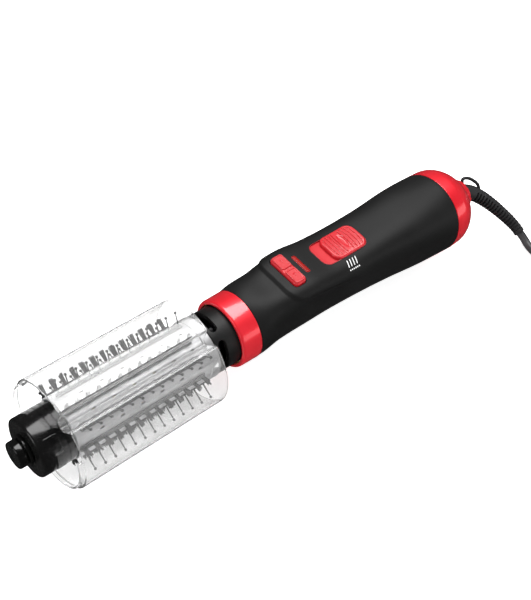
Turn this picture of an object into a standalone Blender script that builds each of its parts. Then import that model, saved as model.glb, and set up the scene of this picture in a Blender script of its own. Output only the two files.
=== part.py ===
"""Rotating hot air brush with a clear storage cover and a free mains lead.

The brush lies along X with its tip at -X and its cord at +X. The controls face +Z. The
origin is under the middle of the brush, on the surface that the cover rests on. All lengths
are in metres. Angles round the brush axis start at +Z and turn towards +Y.
"""

import math

import bmesh
import bpy
from mathutils import Matrix, Vector

MM = 0.001
GAP = 0.3 * MM               # clearance between pieces that seat on each other

# Lengths along the axis, from the tip to the cord exit
KNOB_REACH = 6.8 * MM        # cool tip, proud of the end cap
CAP_EXPOSED = 13.0 * MM      # end cap in front of the cover
COVER_LENGTH = 83.7 * MM     # full-width part of the cover
COVER_TO_COLLAR = 18.4 * MM
COLLAR_LENGTH = 12.0 * MM
SHELL_LENGTH = 145.9 * MM
REAR_CAP_LENGTH = 28.5 * MM  # ring, dome and cord boss

# Radii of the round pieces
COVER_RADIUS = 29.0 * MM
COVER_WALL = 1.2 * MM
KNOB_RADIUS = 7.0 * MM
BARREL_RADIUS = 16.2 * MM
BARREL_WALL = 1.0 * MM
END_CAP_STEP = 0.7 * MM      # the cap is this much smaller than the barrel
FLANGE_STEP = 0.6 * MM       # the barrel's rear flange stands this proud
NECK_STEP = 0.1 * MM
COLLAR_STEP = 3.1 * MM       # the collar outside the neck
COLLAR_WALL = 2.0 * MM
REAR_RADIUS = 24.0 * MM
BOSS_RADIUS = 9.3 * MM

# Cover details
COVER_RIM_LENGTH = 2.2 * MM  # narrower front rim
COVER_RIM_STEP = 1.3 * MM
NOTCH_ANGLE = -28.0          # degrees, the groove faces up and to the -Y side
NOTCH_HALF_MOUTH = 8.2       # degrees
NOTCH_CLEARANCE = 2.8 * MM   # between the barrel and the outside of the groove's floor
NOTCH_FLOOR_HALF = 1.2 * MM

# Bristles
ROWS_PER_KIND = 5
BRISTLE_PITCH = 5.8 * MM
ROW_STAGGER = 1.45 * MM       # pins sit this far back, and tufts forward, of the rows' middle
ROWS_FORWARD = 0.7 * MM
PIN_CLEARANCE = 3.7 * MM     # pin tips under the cover's outer radius
TUFT_DROP = 3.0 * MM         # tufts are this much lower than the pins
STRIP_WIDTH = 3.0 * MM
STRIP_THICKNESS = 0.6 * MM

# Neck and drive
SLOT_COUNT = 4
SLOT_ANGLE = 72.0
SLOT_WIDTH = 4.6 * MM
SLOT_SETBACK = 4.1 * MM      # barrel shoulder to the middle of the slots
BARREL_REAR_REACH = 4.6 * MM  # barrel behind the cover
SPIGOT_LENGTH = 12.0 * MM
GEAR_MODULE = 0.8 * MM
PINION_TEETH = 7
HUB_RIM = 2.7 * MM           # ring gear's pitch circle inside the neck's surface
HUB_WALL = 2.9 * MM
GEAR_WIDTH = 5.0 * MM

# Handle
SHELL_WALL = 1.8 * MM
SPLIT_ANGLE = 120.0          # degrees from +Z to the seam of the lower shell
# distance behind the collar, half width, height, depth, squareness of the upper half
HANDLE_STATIONS = (
    (15.0, 18.8, 20.8, 18.2, 3.3),
    (26.0, 18.8, 21.8, 17.4, 4.4),
    (36.0, 18.9, 21.9, 17.3, 4.8),
    (55.0, 18.7, 19.6, 17.5, 4.3),
    (76.0, 18.8, 19.3, 18.6, 3.8),
    (99.0, 20.1, 20.4, 21.0, 3.1),
    (122.0, 22.4, 22.4, 23.2, 2.6),
)
STATION_SPAN = 146.0         # length that the station distances are measured in

# Controls, measured behind the collar
ROCKER_AT = 31.0 * MM
ROCKER_LENGTH = 8.0 * MM
ROCKER_WIDTH = 21.6 * MM
ROCKER_PROUD = 2.0 * MM
ROCKER_TILT = 5.0
LENS_AT = 40.0 * MM
LENS_LENGTH = 2.4 * MM
LENS_WIDTH = 12.8 * MM
TRAY_PLACE = 0.375           # share of the free deck length that lies in front of the tray
TRAY_LENGTH = 32.0 * MM
TRAY_WIDTH = 17.0 * MM
TRAY_RIM = 0.8 * MM
TRAY_DEPTH = 1.2 * MM
KNOB_LENGTH = 23.0 * MM
KNOB_HEIGHT = 2.6 * MM

# Blower
FAN_GAP = 0.45 * MM           # duct's inside to the corners of the blades
BLADE_CHORD, BLADE_THICKNESS, BLADE_PITCH = 10.0 * MM, 1.2 * MM, 38.0
FAN_BLADES = 7
DUCT_LENGTH = 41.9 * MM
DUCT_SETBACK = 3.0 * MM      # from the duct to the rear cap
DUCT_RADIUS = 17.5 * MM
DUCT_WALL = 1.2 * MM
MOTOR_CLEARANCE = 5.2 * MM    # duct's outside to the motor
MOTOR_LENGTH = 22.0 * MM

# Heater
HEATER_CLEARANCE = 1.1 * MM  # tube inside the hub's bore
HEATER_TUBE_WALL = 0.8 * MM
HEATER_SETBACK = 2.0 * MM    # end cap's plug to the tube
CAP_PLUG_LENGTH = 7.0 * MM
HEATER_TURNS = 6

# Cord
CORD_DIAMETER = 5.0 * MM
GUARD_BASE_RADIUS = 4.9 * MM
GUARD_END_RADIUS = 3.3 * MM
GUARD_RIBS = 17
COIL_MEAN_RADIUS = 27.5 * MM
COIL_SECTION = 16.0 * MM
COIL_BEYOND_BOSS = 70.0 * MM
COIL_ASIDE = -64.0 * MM

# Stations along the axis, worked out from the lengths
OVERALL_LENGTH = (KNOB_REACH + CAP_EXPOSED + COVER_LENGTH + COVER_TO_COLLAR
                  + COLLAR_LENGTH + SHELL_LENGTH + REAR_CAP_LENGTH)
X_TIP = -OVERALL_LENGTH / 2
X_FACE = X_TIP + KNOB_REACH
X_COVER = X_FACE + CAP_EXPOSED
X_COVER_END = X_COVER + COVER_LENGTH
X_COLLAR = X_COVER_END + COVER_TO_COLLAR
X_SHELL = X_COLLAR + COLLAR_LENGTH
X_REAR = X_SHELL + SHELL_LENGTH
X_END = X_REAR + REAR_CAP_LENGTH
AXIS_Z = COVER_RADIUS

X_BARREL = X_COVER + 5.3 * MM
X_BARREL_END = X_COVER_END + BARREL_REAR_REACH
X_HUB_END = X_COLLAR + 10.4 * MM
X_FLANGE = X_COVER_END - 0.4 * MM
X_DUCT = X_REAR - DUCT_SETBACK - DUCT_LENGTH

# Radii worked out from the ones above
END_CAP_RADIUS = BARREL_RADIUS - END_CAP_STEP
FLANGE_RADIUS = BARREL_RADIUS + FLANGE_STEP
NECK_RADIUS = BARREL_RADIUS + NECK_STEP
COLLAR_RADIUS = NECK_RADIUS + COLLAR_STEP
PIN_REACH = COVER_RADIUS - PIN_CLEARANCE
TUFT_REACH = PIN_REACH - TUFT_DROP
HUB_BORE = NECK_RADIUS - HUB_WALL
HEATER_TUBE_RADIUS = HUB_BORE - HEATER_CLEARANCE
RING_TEETH = round(2 * (NECK_RADIUS - HUB_RIM) / GEAR_MODULE)
COIL_CENTRE = (X_END + COIL_BEYOND_BOSS, COIL_ASIDE)
BLADE_REACH = BLADE_CHORD / 2 * math.sin(math.radians(BLADE_PITCH)) + BLADE_THICKNESS / 2
FAN_RADIUS = math.sqrt((DUCT_RADIUS - DUCT_WALL - FAN_GAP) ** 2 - BLADE_REACH ** 2)
MOTOR_RADIUS = DUCT_RADIUS - MOTOR_CLEARANCE
PINION_PITCH_RADIUS = GEAR_MODULE * PINION_TEETH / 2
RING_PITCH_RADIUS = GEAR_MODULE * RING_TEETH / 2
PINION_DROP = RING_PITCH_RADIUS - PINION_PITCH_RADIUS

# The handle's first and last sections are the collar's and the rear cap's circles
FRONT_CIRCLE = (COLLAR_RADIUS - 0.1 * MM) / MM
REAR_CIRCLE = REAR_RADIUS / MM
HANDLE_SECTIONS = ((0.0, FRONT_CIRCLE, FRONT_CIRCLE, FRONT_CIRCLE, 2.0), *HANDLE_STATIONS,
                   (STATION_SPAN, REAR_CIRCLE, REAR_CIRCLE, REAR_CIRCLE, 2.0))
LENS_END = LENS_AT + LENS_LENGTH / 2
TRAY_AT = LENS_END + TRAY_LENGTH / 2 + TRAY_PLACE * (X_DUCT - X_SHELL - LENS_END - TRAY_LENGTH)


# ---------------------------------------------------------------- scene helpers

def clear_scene():
    """Remove every object, so that the script can run in any file."""
    for old in list(bpy.data.objects):
        bpy.data.objects.remove(old, do_unlink=True)


def new_collection(name):
    group = bpy.data.collections.new(name)
    bpy.context.scene.collection.children.link(group)
    return group


def make_material(name, colour, roughness, metallic=0.0, alpha=1.0):
    """A Principled material with the piece's base colour."""
    made = bpy.data.materials.new(name)
    made.use_nodes = True
    shader = made.node_tree.nodes["Principled BSDF"]
    shader.inputs["Base Color"].default_value = (*colour, 1.0)
    shader.inputs["Roughness"].default_value = roughness
    shader.inputs["Metallic"].default_value = metallic
    shader.inputs["Alpha"].default_value = alpha
    return made


def make_anchor(name, location, parent=None):
    """An empty that carries pieces, with its origin on a joint axis."""
    anchor = bpy.data.objects.new(name, None)
    anchor.location = location
    anchor.parent = parent
    PARTS.objects.link(anchor)
    return anchor


def make_piece(name, shape, finish, parent):
    """Turn a bmesh into a named object with outward faces."""
    bmesh.ops.remove_doubles(shape, verts=shape.verts, dist=1e-7)
    bmesh.ops.recalc_face_normals(shape, faces=shape.faces)
    mesh = bpy.data.meshes.new(name)
    shape.to_mesh(mesh)
    shape.free()
    mesh.materials.append(finish)
    mesh.shade_smooth()
    mesh.set_sharp_from_angle(angle=math.radians(35))
    piece = bpy.data.objects.new(name, mesh)
    piece.parent = parent
    PARTS.objects.link(piece)
    return piece


def make_tool(name, shape, parent):
    """A hidden cutter or filler for a Boolean."""
    tool = make_piece(name, shape, TOOL_FINISH, parent)
    PARTS.objects.unlink(tool)
    CUTTERS.objects.link(tool)
    tool.hide_render = True
    tool.display_type = "WIRE"
    return tool


def combine(piece, tool, operation="DIFFERENCE"):
    """Cut a tool from a piece, or join it on."""
    step = piece.modifiers.new(tool.name, "BOOLEAN")
    step.operation = operation
    step.solver = "EXACT"
    step.object = tool


# ---------------------------------------------------------------- shape helpers

def polar(x, radius, degrees):
    """The point at a station, radius and angle round the axis."""
    turn = math.radians(degrees)
    return Vector((x, radius * math.sin(turn), radius * math.cos(turn)))


def turned(outline, steps=40, solid=False):
    """An outline of (x, radius) points swept round X; a solid one starts and ends on the axis."""
    shape = bmesh.new()
    points = [shape.verts.new((x, 0.0, radius)) for x, radius in outline]
    edges = [shape.edges.new(pair) for pair in zip(points, points[1:])]
    if not solid:
        edges.append(shape.edges.new((points[-1], points[0])))
    bmesh.ops.spin(shape, geom=points + edges, cent=(0, 0, 0), axis=(1, 0, 0),
                   angle=math.tau, steps=steps, use_merge=True)
    return shape


def rod(x0, x1, radius, steps=20):
    """A plain solid cylinder along X."""
    return turned([(x0, 0.0), (x0, radius), (x1, radius), (x1, 0.0)], steps, solid=True)


def pipe(x0, x1, outer, inner, steps=40):
    """A plain tube along X."""
    return turned([(x0, outer), (x1, outer), (x1, inner), (x0, inner)], steps)


def block(low, high):
    """A box between two corners."""
    shape = bmesh.new()
    size = Vector(high) - Vector(low)
    middle = (Vector(high) + Vector(low)) / 2
    bmesh.ops.create_cube(shape, size=1.0, matrix=Matrix.Translation(middle) @ Matrix.Diagonal((*size, 1)))
    return shape


def post(x, y, z0, z1, radius, steps=20):
    """A solid cylinder along Z."""
    shape = bmesh.new()
    bmesh.ops.create_cone(shape, cap_ends=True, segments=steps, radius1=radius, radius2=radius,
                          depth=z1 - z0, matrix=Matrix.Translation((x, y, (z0 + z1) / 2)))
    return shape


def rounded_outline(length, width, corner, arc=4):
    """Points of a rounded rectangle in XY, centred on the origin."""
    points = []
    for quarter, (sx, sy) in enumerate(((1, 1), (-1, 1), (-1, -1), (1, -1))):
        centre = Vector((sx * (length / 2 - corner), sy * (width / 2 - corner)))
        for k in range(arc + 1):
            turn = math.radians(90 * quarter + 90 * k / arc)
            points.append(centre + corner * Vector((math.cos(turn), math.sin(turn))))
    return points


def slab(outline, x, y, z0, z1):
    """A flat outline in XY raised between two heights."""
    shape = bmesh.new()
    face = shape.faces.new([shape.verts.new((x + p.x, y + p.y, z0)) for p in outline])
    grown = bmesh.ops.extrude_face_region(shape, geom=[face])
    top = [v for v in grown["geom"] if isinstance(v, bmesh.types.BMVert)]
    bmesh.ops.translate(shape, verts=top, vec=(0, 0, z1 - z0))
    return shape


def gear_outline(teeth, root, tip, root_share, tip_share):
    """Points of a gear with straight-sided teeth, the first tooth pointing at -Z."""
    points = []
    pitch = 360.0 / teeth
    for tooth in range(teeth):
        middle = 180.0 + tooth * pitch
        for radius, share in ((root, -root_share), (tip, -tip_share), (tip, tip_share), (root, root_share)):
            points.append(polar(0.0, radius, middle + share * pitch / 2))
    return points


def gear_prism(points, x0, x1):
    """A gear outline raised along X."""
    shape = bmesh.new()
    face = shape.faces.new([shape.verts.new((x0, p.y, p.z)) for p in points])
    grown = bmesh.ops.extrude_face_region(shape, geom=[face])
    far = [v for v in grown["geom"] if isinstance(v, bmesh.types.BMVert)]
    bmesh.ops.translate(shape, verts=far, vec=(x1 - x0, 0, 0))
    return shape


def wrapped_slot(x, degrees, half_angle, width, inner, outer, steps=8):
    """A round-ended slot bent round the axis, from an inner to an outer radius."""
    shape = bmesh.new()
    rings = []
    round_share = math.degrees(width / 2 / outer) / half_angle
    for k in range(steps + 1):
        along = -math.cos(math.pi * k / steps)
        into_end = max(0.0, (abs(along) - (1 - round_share)) / round_share)
        half = max(width / 2 * math.sqrt(max(0.0, 1 - into_end ** 2)), width * 0.08)
        turn = degrees + along * half_angle
        rings.append([shape.verts.new(polar(x + side * half, radius, turn))
                      for side, radius in ((-1, inner), (1, inner), (1, outer), (-1, outer))])
    for first, second in zip(rings, rings[1:]):
        for k in range(4):
            shape.faces.new((first[k], first[(k + 1) % 4], second[(k + 1) % 4], second[k]))
    shape.faces.new(rings[0])
    shape.faces.new(rings[-1])
    return shape


def add_all(target, sources):
    """Copy other shapes into one."""
    for source in sources:
        mesh = bpy.data.meshes.new("part_of_shape")
        source.to_mesh(mesh)
        source.free()
        target.from_mesh(mesh)
        bpy.data.meshes.remove(mesh)
    return target


def smooth_route(points, count):
    """Points along a Catmull-Rom curve through the given ones, evenly shared out."""
    ends = [points[0] * 2 - points[1], *points, points[-1] * 2 - points[-2]]
    fine = []
    for a, b, c, d in zip(ends, ends[1:], ends[2:], ends[3:]):
        for k in range(24):
            t = k / 24
            fine.append(0.5 * (2 * b + (c - a) * t + (2 * a - 5 * b + 4 * c - d) * t ** 2
                               + (3 * b - a - 3 * c + d) * t ** 3))
    fine.append(points[-1])
    run = [0.0]
    for a, b in zip(fine, fine[1:]):
        run.append(run[-1] + (b - a).length)
    out = []
    place = 0
    for k in range(count):
        want = run[-1] * k / (count - 1)
        while place < len(run) - 2 and run[place + 1] < want:
            place += 1
        share = (want - run[place]) / (run[place + 1] - run[place])
        out.append(fine[place].lerp(fine[place + 1], min(1.0, share)))
    return out


def make_tube(name, route, radius, finish, parent, roundness=2):
    """A curve object swept with a round section and closed ends."""
    curve = bpy.data.curves.new(name, "CURVE")
    curve.dimensions = "3D"
    curve.bevel_depth = radius
    curve.bevel_resolution = roundness
    curve.use_fill_caps = True
    line = curve.splines.new("POLY")
    line.points.add(len(route) - 1)
    for point, place in zip(line.points, route):
        point.co = (*place, 1.0)
    curve.materials.append(finish)
    tube = bpy.data.objects.new(name, curve)
    tube.parent = parent
    PARTS.objects.link(tube)
    return tube


# ---------------------------------------------------------------- handle form

def handle_section(x):
    """Half width, height, depth and squareness of the handle at a station, blended smoothly."""
    back = min(max((x - X_SHELL) / SHELL_LENGTH, 0.0), 1.0) * STATION_SPAN
    for k in range(len(HANDLE_SECTIONS) - 1):
        if back <= HANDLE_SECTIONS[k + 1][0]:
            break
    first, second = HANDLE_SECTIONS[k], HANDLE_SECTIONS[k + 1]
    before = HANDLE_SECTIONS[max(k - 1, 0)]
    after = HANDLE_SECTIONS[min(k + 2, len(HANDLE_SECTIONS) - 1)]
    span = second[0] - first[0]
    t = (back - first[0]) / span
    values = []
    for i in range(1, 5):
        slope_in = (second[i] - before[i]) / max(second[0] - before[0], 1e-9) * span
        slope_out = (after[i] - first[i]) / max(after[0] - first[0], 1e-9) * span
        values.append((2 * t ** 3 - 3 * t ** 2 + 1) * first[i] + (t ** 3 - 2 * t ** 2 + t) * slope_in
                      + (3 * t ** 2 - 2 * t ** 3) * second[i] + (t ** 3 - t ** 2) * slope_out)
    half, height, depth, square = values
    return half * MM, height * MM, depth * MM, square


def handle_point(x, degrees, inset=0.0):
    """A point of the handle's skin: a squared upper half over an elliptical lower half."""
    half, height, depth, square = handle_section(x)
    turn = math.radians(degrees)
    sine, cosine = math.sin(turn), math.cos(turn)
    power = 2 / square if cosine > 0 else 1.0
    tall = height if cosine > 0 else depth
    y = (half - inset) * math.copysign(abs(sine) ** power, sine)
    z = (tall - inset) * math.copysign(abs(cosine) ** power, cosine)
    return Vector((x, y, z))


def deck_height(back):
    """Height of the deck above the axis at a distance behind the collar."""
    return handle_section(X_SHELL + back)[1]


def handle_shell(start, end, across, along):
    """A wall of the handle between two angles, closed along its edges and ends."""
    shape = bmesh.new()
    x0, x1 = X_SHELL + GAP, X_REAR - GAP
    rings = []
    for k in range(along + 1):
        x = x0 + (x1 - x0) * k / along
        angles = [start + (end - start) * i / across for i in range(across + 1)]
        outer = [shape.verts.new(handle_point(x, a)) for a in angles]
        inner = [shape.verts.new(handle_point(x, a, SHELL_WALL)) for a in angles]
        rings.append((outer, inner))
    for (outer, inner), (next_outer, next_inner) in zip(rings, rings[1:]):
        for i in range(across):
            shape.faces.new((outer[i], outer[i + 1], next_outer[i + 1], next_outer[i]))
            shape.faces.new((inner[i], next_inner[i], next_inner[i + 1], inner[i + 1]))
        shape.faces.new((outer[0], next_outer[0], next_inner[0], inner[0]))
        shape.faces.new((outer[-1], inner[-1], next_inner[-1], next_outer[-1]))
    for outer, inner in (rings[0], rings[-1]):
        for i in range(across):
            shape.faces.new((outer[i], outer[i + 1], inner[i + 1], inner[i]))
    return shape


# ---------------------------------------------------------------- handle pieces

def screw_stations():
    """Places of the two screws that hold the lower shell: station and boss top height."""
    places = []
    for x in (X_SHELL + LENS_AT + 6.0 * MM, X_DUCT - 10.0 * MM):
        depth = handle_section(x)[2]
        places.append((x, -depth, -depth + 6.0 * MM))
    return places


def make_shells():
    seam = 0.6
    upper = make_piece("upper_shell", handle_shell(-SPLIT_ANGLE + seam, SPLIT_ANGLE - seam, 25, 17), SOFT_BLACK, AXIS)
    openings = (
        ("rocker_opening", ROCKER_AT, ROCKER_LENGTH + 1.2 * MM, ROCKER_WIDTH + 1.4 * MM, 2.8 * MM),
        ("lens_opening", LENS_AT, LENS_LENGTH + 2 * GAP, LENS_WIDTH + 2 * GAP, 1.2 * MM),
        ("tray_opening", TRAY_AT, TRAY_LENGTH + 2 * GAP, TRAY_WIDTH + 2 * GAP, 5.0 * MM),
    )
    for name, back, length, width, corner in openings:
        height = deck_height(back)
        outline = rounded_outline(length, width, corner)
        combine(upper, make_tool(name, slab(outline, X_SHELL + back, 0, height - 9 * MM, height + 9 * MM), AXIS))

    lower = make_piece("lower_shell", handle_shell(SPLIT_ANGLE + seam, 360 - SPLIT_ANGLE - seam, 11, 13), SOFT_BLACK, AXIS)
    for number, (x, skin, top) in enumerate(screw_stations(), 1):
        combine(lower, make_tool(f"boss_{number}", post(x, 0, skin + 1.0 * MM, top, 4.4 * MM), AXIS), "UNION")
        combine(lower, make_tool(f"bore_{number}", post(x, 0, skin - 2 * MM, top + 1 * MM, 1.7 * MM, 16), AXIS))
        combine(lower, make_tool(f"sink_{number}", post(x, 0, skin - 2 * MM, top - 2 * MM, 3.0 * MM, 16), AXIS))


def make_front_collar():
    lip = 1.4 * MM
    inner = COLLAR_RADIUS - COLLAR_WALL
    outline = [(X_COLLAR + lip + lip * -math.cos(math.radians(a)), COLLAR_RADIUS - lip + lip * math.sin(math.radians(a)))
               for a in (0, 30, 60, 90)]
    outline += [(X_SHELL, COLLAR_RADIUS), (X_SHELL, inner), (X_COLLAR + 2.2 * MM, inner),
                (X_COLLAR + 2.2 * MM, inner - 0.4 * MM), (X_COLLAR, inner - 0.4 * MM)]
    make_piece("front_collar", turned(outline, 36), RED_METAL, AXIS)


def make_rear_cap():
    wall = 2.0 * MM
    ring_end = X_REAR + 9.0 * MM
    boss_start = X_END - 5.0 * MM
    outer = [(X_REAR, REAR_RADIUS), (ring_end, REAR_RADIUS - 0.2 * MM), (ring_end + 2.0 * MM, REAR_RADIUS - 1.4 * MM)]
    dome_span = boss_start - ring_end - 2.0 * MM
    dome_drop = REAR_RADIUS - 1.4 * MM - BOSS_RADIUS
    for share in (0.25, 0.5, 0.75, 1.0):
        fall = 0.5 - 0.5 * math.cos(math.pi * share * 0.88)
        outer.append((ring_end + 2.0 * MM + dome_span * share, REAR_RADIUS - 1.4 * MM - dome_drop * fall / 0.965))
    outer += [(X_END - 0.8 * MM, BOSS_RADIUS), (X_END, BOSS_RADIUS - 0.8 * MM)]
    bore = 6.2 * MM
    inner = [(X_END, bore), (boss_start - 1.0 * MM, bore), (boss_start - 1.0 * MM, BOSS_RADIUS - 1.2 * MM),
             (boss_start - 3.0 * MM, BOSS_RADIUS + 0.4 * MM), (ring_end + 0.5 * MM, REAR_RADIUS - wall - 2.4 * MM),
             (ring_end - 1.5 * MM, REAR_RADIUS - wall), (X_REAR, REAR_RADIUS - wall)]
    cap = make_piece("rear_cap", turned(outer + inner, 36), RED_METAL, AXIS)
    for number in range(7):
        turn = 180.0 + (number - 3) * 22.0
        slot = block((ring_end - 1 * MM, -1.0 * MM, 12.5 * MM), (X_END, 1.0 * MM, 19.0 * MM))
        bmesh.ops.rotate(slot, verts=slot.verts, cent=(0, 0, 0), matrix=Matrix.Rotation(math.radians(-turn), 3, "X"))
        combine(cap, make_tool(f"inlet_slot_{number}", slot, AXIS))


def make_inlet_screen():
    """A fine screen behind the rear cap's slots, a ring joined to a rim by spokes."""
    x = X_REAR + 4.0 * MM
    rim = REAR_RADIUS - 2.0 * MM - GAP
    screen = make_piece("inlet_screen", pipe(x, x + 1.0 * MM, rim, 8.0 * MM, 28), SOFT_BLACK, AXIS)
    for number in range(6):
        cut = wrapped_slot(x + 0.5 * MM, number * 60.0 + 30.0, 22.0, 4.0 * MM, 12.0 * MM, 19.0 * MM, 3)
        combine(screen, make_tool(f"screen_cut_{number}", cut, AXIS))


def make_screws():
    for number, (x, skin, top) in enumerate(screw_stations(), 1):
        head = top - 2 * MM - GAP
        outline = [(0.0, 0.0), (0.0, 2.6 * MM), (1.6 * MM, 2.6 * MM), (1.6 * MM, 1.35 * MM),
                   (9.0 * MM, 1.35 * MM), (10.0 * MM, 0.0)]
        shape = turned(outline, 16, solid=True)
        bmesh.ops.rotate(shape, verts=shape.verts, cent=(0, 0, 0), matrix=Matrix.Rotation(math.radians(-90), 3, "Y"))
        bmesh.ops.translate(shape, verts=shape.verts, vec=(x, 0, head - 1.6 * MM))
        make_piece(f"shell_screw_{number}", shape, STEEL, AXIS)


def make_chassis():
    """The inner frame that the board sits on and the lower shell screws to."""
    low, high = 5.2 * MM, 7.2 * MM
    frame = block((X_SHELL + 29 * MM, -10 * MM, low), (X_DUCT - 4 * MM, 10 * MM, high))
    chassis = make_piece("inner_chassis", frame, SOFT_BLACK, AXIS)
    for number, (x, skin, top) in enumerate(screw_stations(), 1):
        combine(chassis, make_tool(f"leg_{number}", post(x, 0, top + GAP, high - 0.5 * MM, 3.4 * MM), AXIS), "UNION")
        combine(chassis, make_tool(f"leg_bore_{number}", post(x, 0, top - 1 * MM, top + 9.5 * MM, 1.7 * MM, 16), AXIS))


# ---------------------------------------------------------------- controls

BOARD_TOP = 9.3 * MM


def make_board():
    board = block((X_SHELL + 26.0 * MM, -11 * MM, BOARD_TOP - 1.6 * MM), (X_DUCT - 11 * MM, 11 * MM, BOARD_TOP))
    make_piece("control_board", board, BOARD_GREEN, AXIS)


def make_rocker():
    """A two-way rocker that tips about a pin along X, over one switch each side."""
    x = X_SHELL + ROCKER_AT
    deck = deck_height(ROCKER_AT)
    pivot = deck - 4.4 * MM
    anchor = make_anchor("rocker_axis", (x, 0, pivot), AXIS)
    shape = slab(rounded_outline(ROCKER_LENGTH, ROCKER_WIDTH, 2.3 * MM), 0, 0,
                 deck - 2.4 * MM - pivot, deck + ROCKER_PROUD - pivot)
    rocker = make_piece("rocker_button", shape, RED_GLOSS, anchor)
    stem = block((-3.0 * MM, -2.8 * MM, -2.2 * MM), (3.0 * MM, 2.8 * MM, deck - 1.8 * MM - pivot))
    combine(rocker, make_tool("rocker_stem", stem, anchor), "UNION")
    combine(rocker, make_tool("rocker_bore", rod(-5 * MM, 5 * MM, 1.2 * MM, 12), anchor))
    make_piece("rocker_pin", rod(-5.1 * MM, 5.1 * MM, 0.85 * MM, 12), STEEL, anchor)

    foot = BOARD_TOP + GAP - pivot
    bracket = make_piece("rocker_bracket", block((-5.4 * MM, -3.2 * MM, foot), (5.4 * MM, 3.2 * MM, foot + 1.2 * MM)),
                         SOFT_BLACK, anchor)
    for side in (-1, 1):
        ear = block((side * 4.1 * MM - 0.7 * MM, -2.4 * MM, foot + 0.6 * MM), (side * 4.1 * MM + 0.7 * MM, 2.4 * MM, 1.5 * MM))
        combine(bracket, make_tool(f"bracket_ear_{side + 1}", ear, anchor), "UNION")
    combine(bracket, make_tool("bracket_bore", rod(-7 * MM, 7 * MM, 1.15 * MM, 12), anchor))

    for side, name in ((-1, "microswitch_left"), (1, "microswitch_right")):
        middle = side * 7.4 * MM
        body = block((-3.0 * MM, middle - 2.6 * MM, BOARD_TOP + GAP - pivot), (3.0 * MM, middle + 2.6 * MM, deck - 5.6 * MM - pivot))
        switch = make_piece(name, body, SOFT_BLACK, anchor)
        plunger = post(0, middle, deck - 6.0 * MM - pivot, deck - 3.8 * MM - pivot, 0.9 * MM, 10)
        combine(switch, make_tool(f"{name}_plunger", plunger, anchor), "UNION")


def make_lens():
    """The long narrow light window, with the lamp under it."""
    deck = deck_height(LENS_AT)
    outline = rounded_outline(LENS_LENGTH, LENS_WIDTH, 1.0 * MM, 3)
    make_piece("indicator_lens", slab(outline, X_SHELL + LENS_AT, 0, deck - 2.4 * MM, deck + 0.2 * MM), LENS_RED, AXIS)
    make_piece("indicator_lamp", post(X_SHELL + LENS_AT, 0, BOARD_TOP + GAP, deck - 3.2 * MM, 1.5 * MM, 14), LENS_RED, AXIS)


def make_slide():
    """The red tray with its slide knob, at the rear end of its travel."""
    deck = deck_height(TRAY_AT)
    x = X_SHELL + TRAY_AT
    floor = deck - TRAY_DEPTH
    tray = make_piece("slide_tray", slab(rounded_outline(TRAY_LENGTH, TRAY_WIDTH, 4.7 * MM), x, 0,
                                         floor - 1.2 * MM, deck), RED_GLOSS, AXIS)
    hollow = rounded_outline(TRAY_LENGTH - 2 * TRAY_RIM, TRAY_WIDTH - 2 * TRAY_RIM, 4.0 * MM)
    combine(tray, make_tool("tray_hollow", slab(hollow, x, 0, floor, deck + 2 * MM), AXIS))

    travel = TRAY_LENGTH - 2 * TRAY_RIM - KNOB_LENGTH - 2 * GAP
    knob_x = x + TRAY_LENGTH / 2 - TRAY_RIM - GAP - KNOB_LENGTH / 2
    slot = rounded_outline(travel + 4.6 * MM, 3.4 * MM, 1.2 * MM, 2)
    combine(tray, make_tool("tray_slot", slab(slot, knob_x - travel / 2, 0, floor - 3 * MM, floor + 1 * MM), AXIS))

    anchor = make_anchor("slide_axis", (knob_x, 0, floor), AXIS)
    outline = rounded_outline(KNOB_LENGTH, TRAY_WIDTH - 2 * TRAY_RIM - 2 * GAP, 3.7 * MM)
    knob = make_piece("slide_knob", slab(outline, 0, 0, GAP, KNOB_HEIGHT), RED_GLOSS, anchor)
    stem_foot = floor - 4.6 * MM
    stem = block((-1.6 * MM, -1.2 * MM, stem_foot - floor), (1.6 * MM, 1.2 * MM, 1.0 * MM))
    combine(knob, make_tool("knob_stem", stem, anchor), "UNION")
    for side in (-1, 1):
        for number in range(3):
            groove_x = side * (4.2 + 2.0 * number) * MM
            groove = block((groove_x - 0.35 * MM, -4.6 * MM, KNOB_HEIGHT - 0.4 * MM),
                           (groove_x + 0.35 * MM, 4.6 * MM, KNOB_HEIGHT + 1 * MM))
            combine(knob, make_tool(f"knob_groove_{side + 1}_{number}", groove, anchor))

    switch = block((x - 9 * MM, -4 * MM, BOARD_TOP + GAP), (x + 12 * MM, 4 * MM, stem_foot - GAP))
    make_piece("slide_switch", switch, SOFT_BLACK, AXIS)


# ---------------------------------------------------------------- blower

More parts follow.
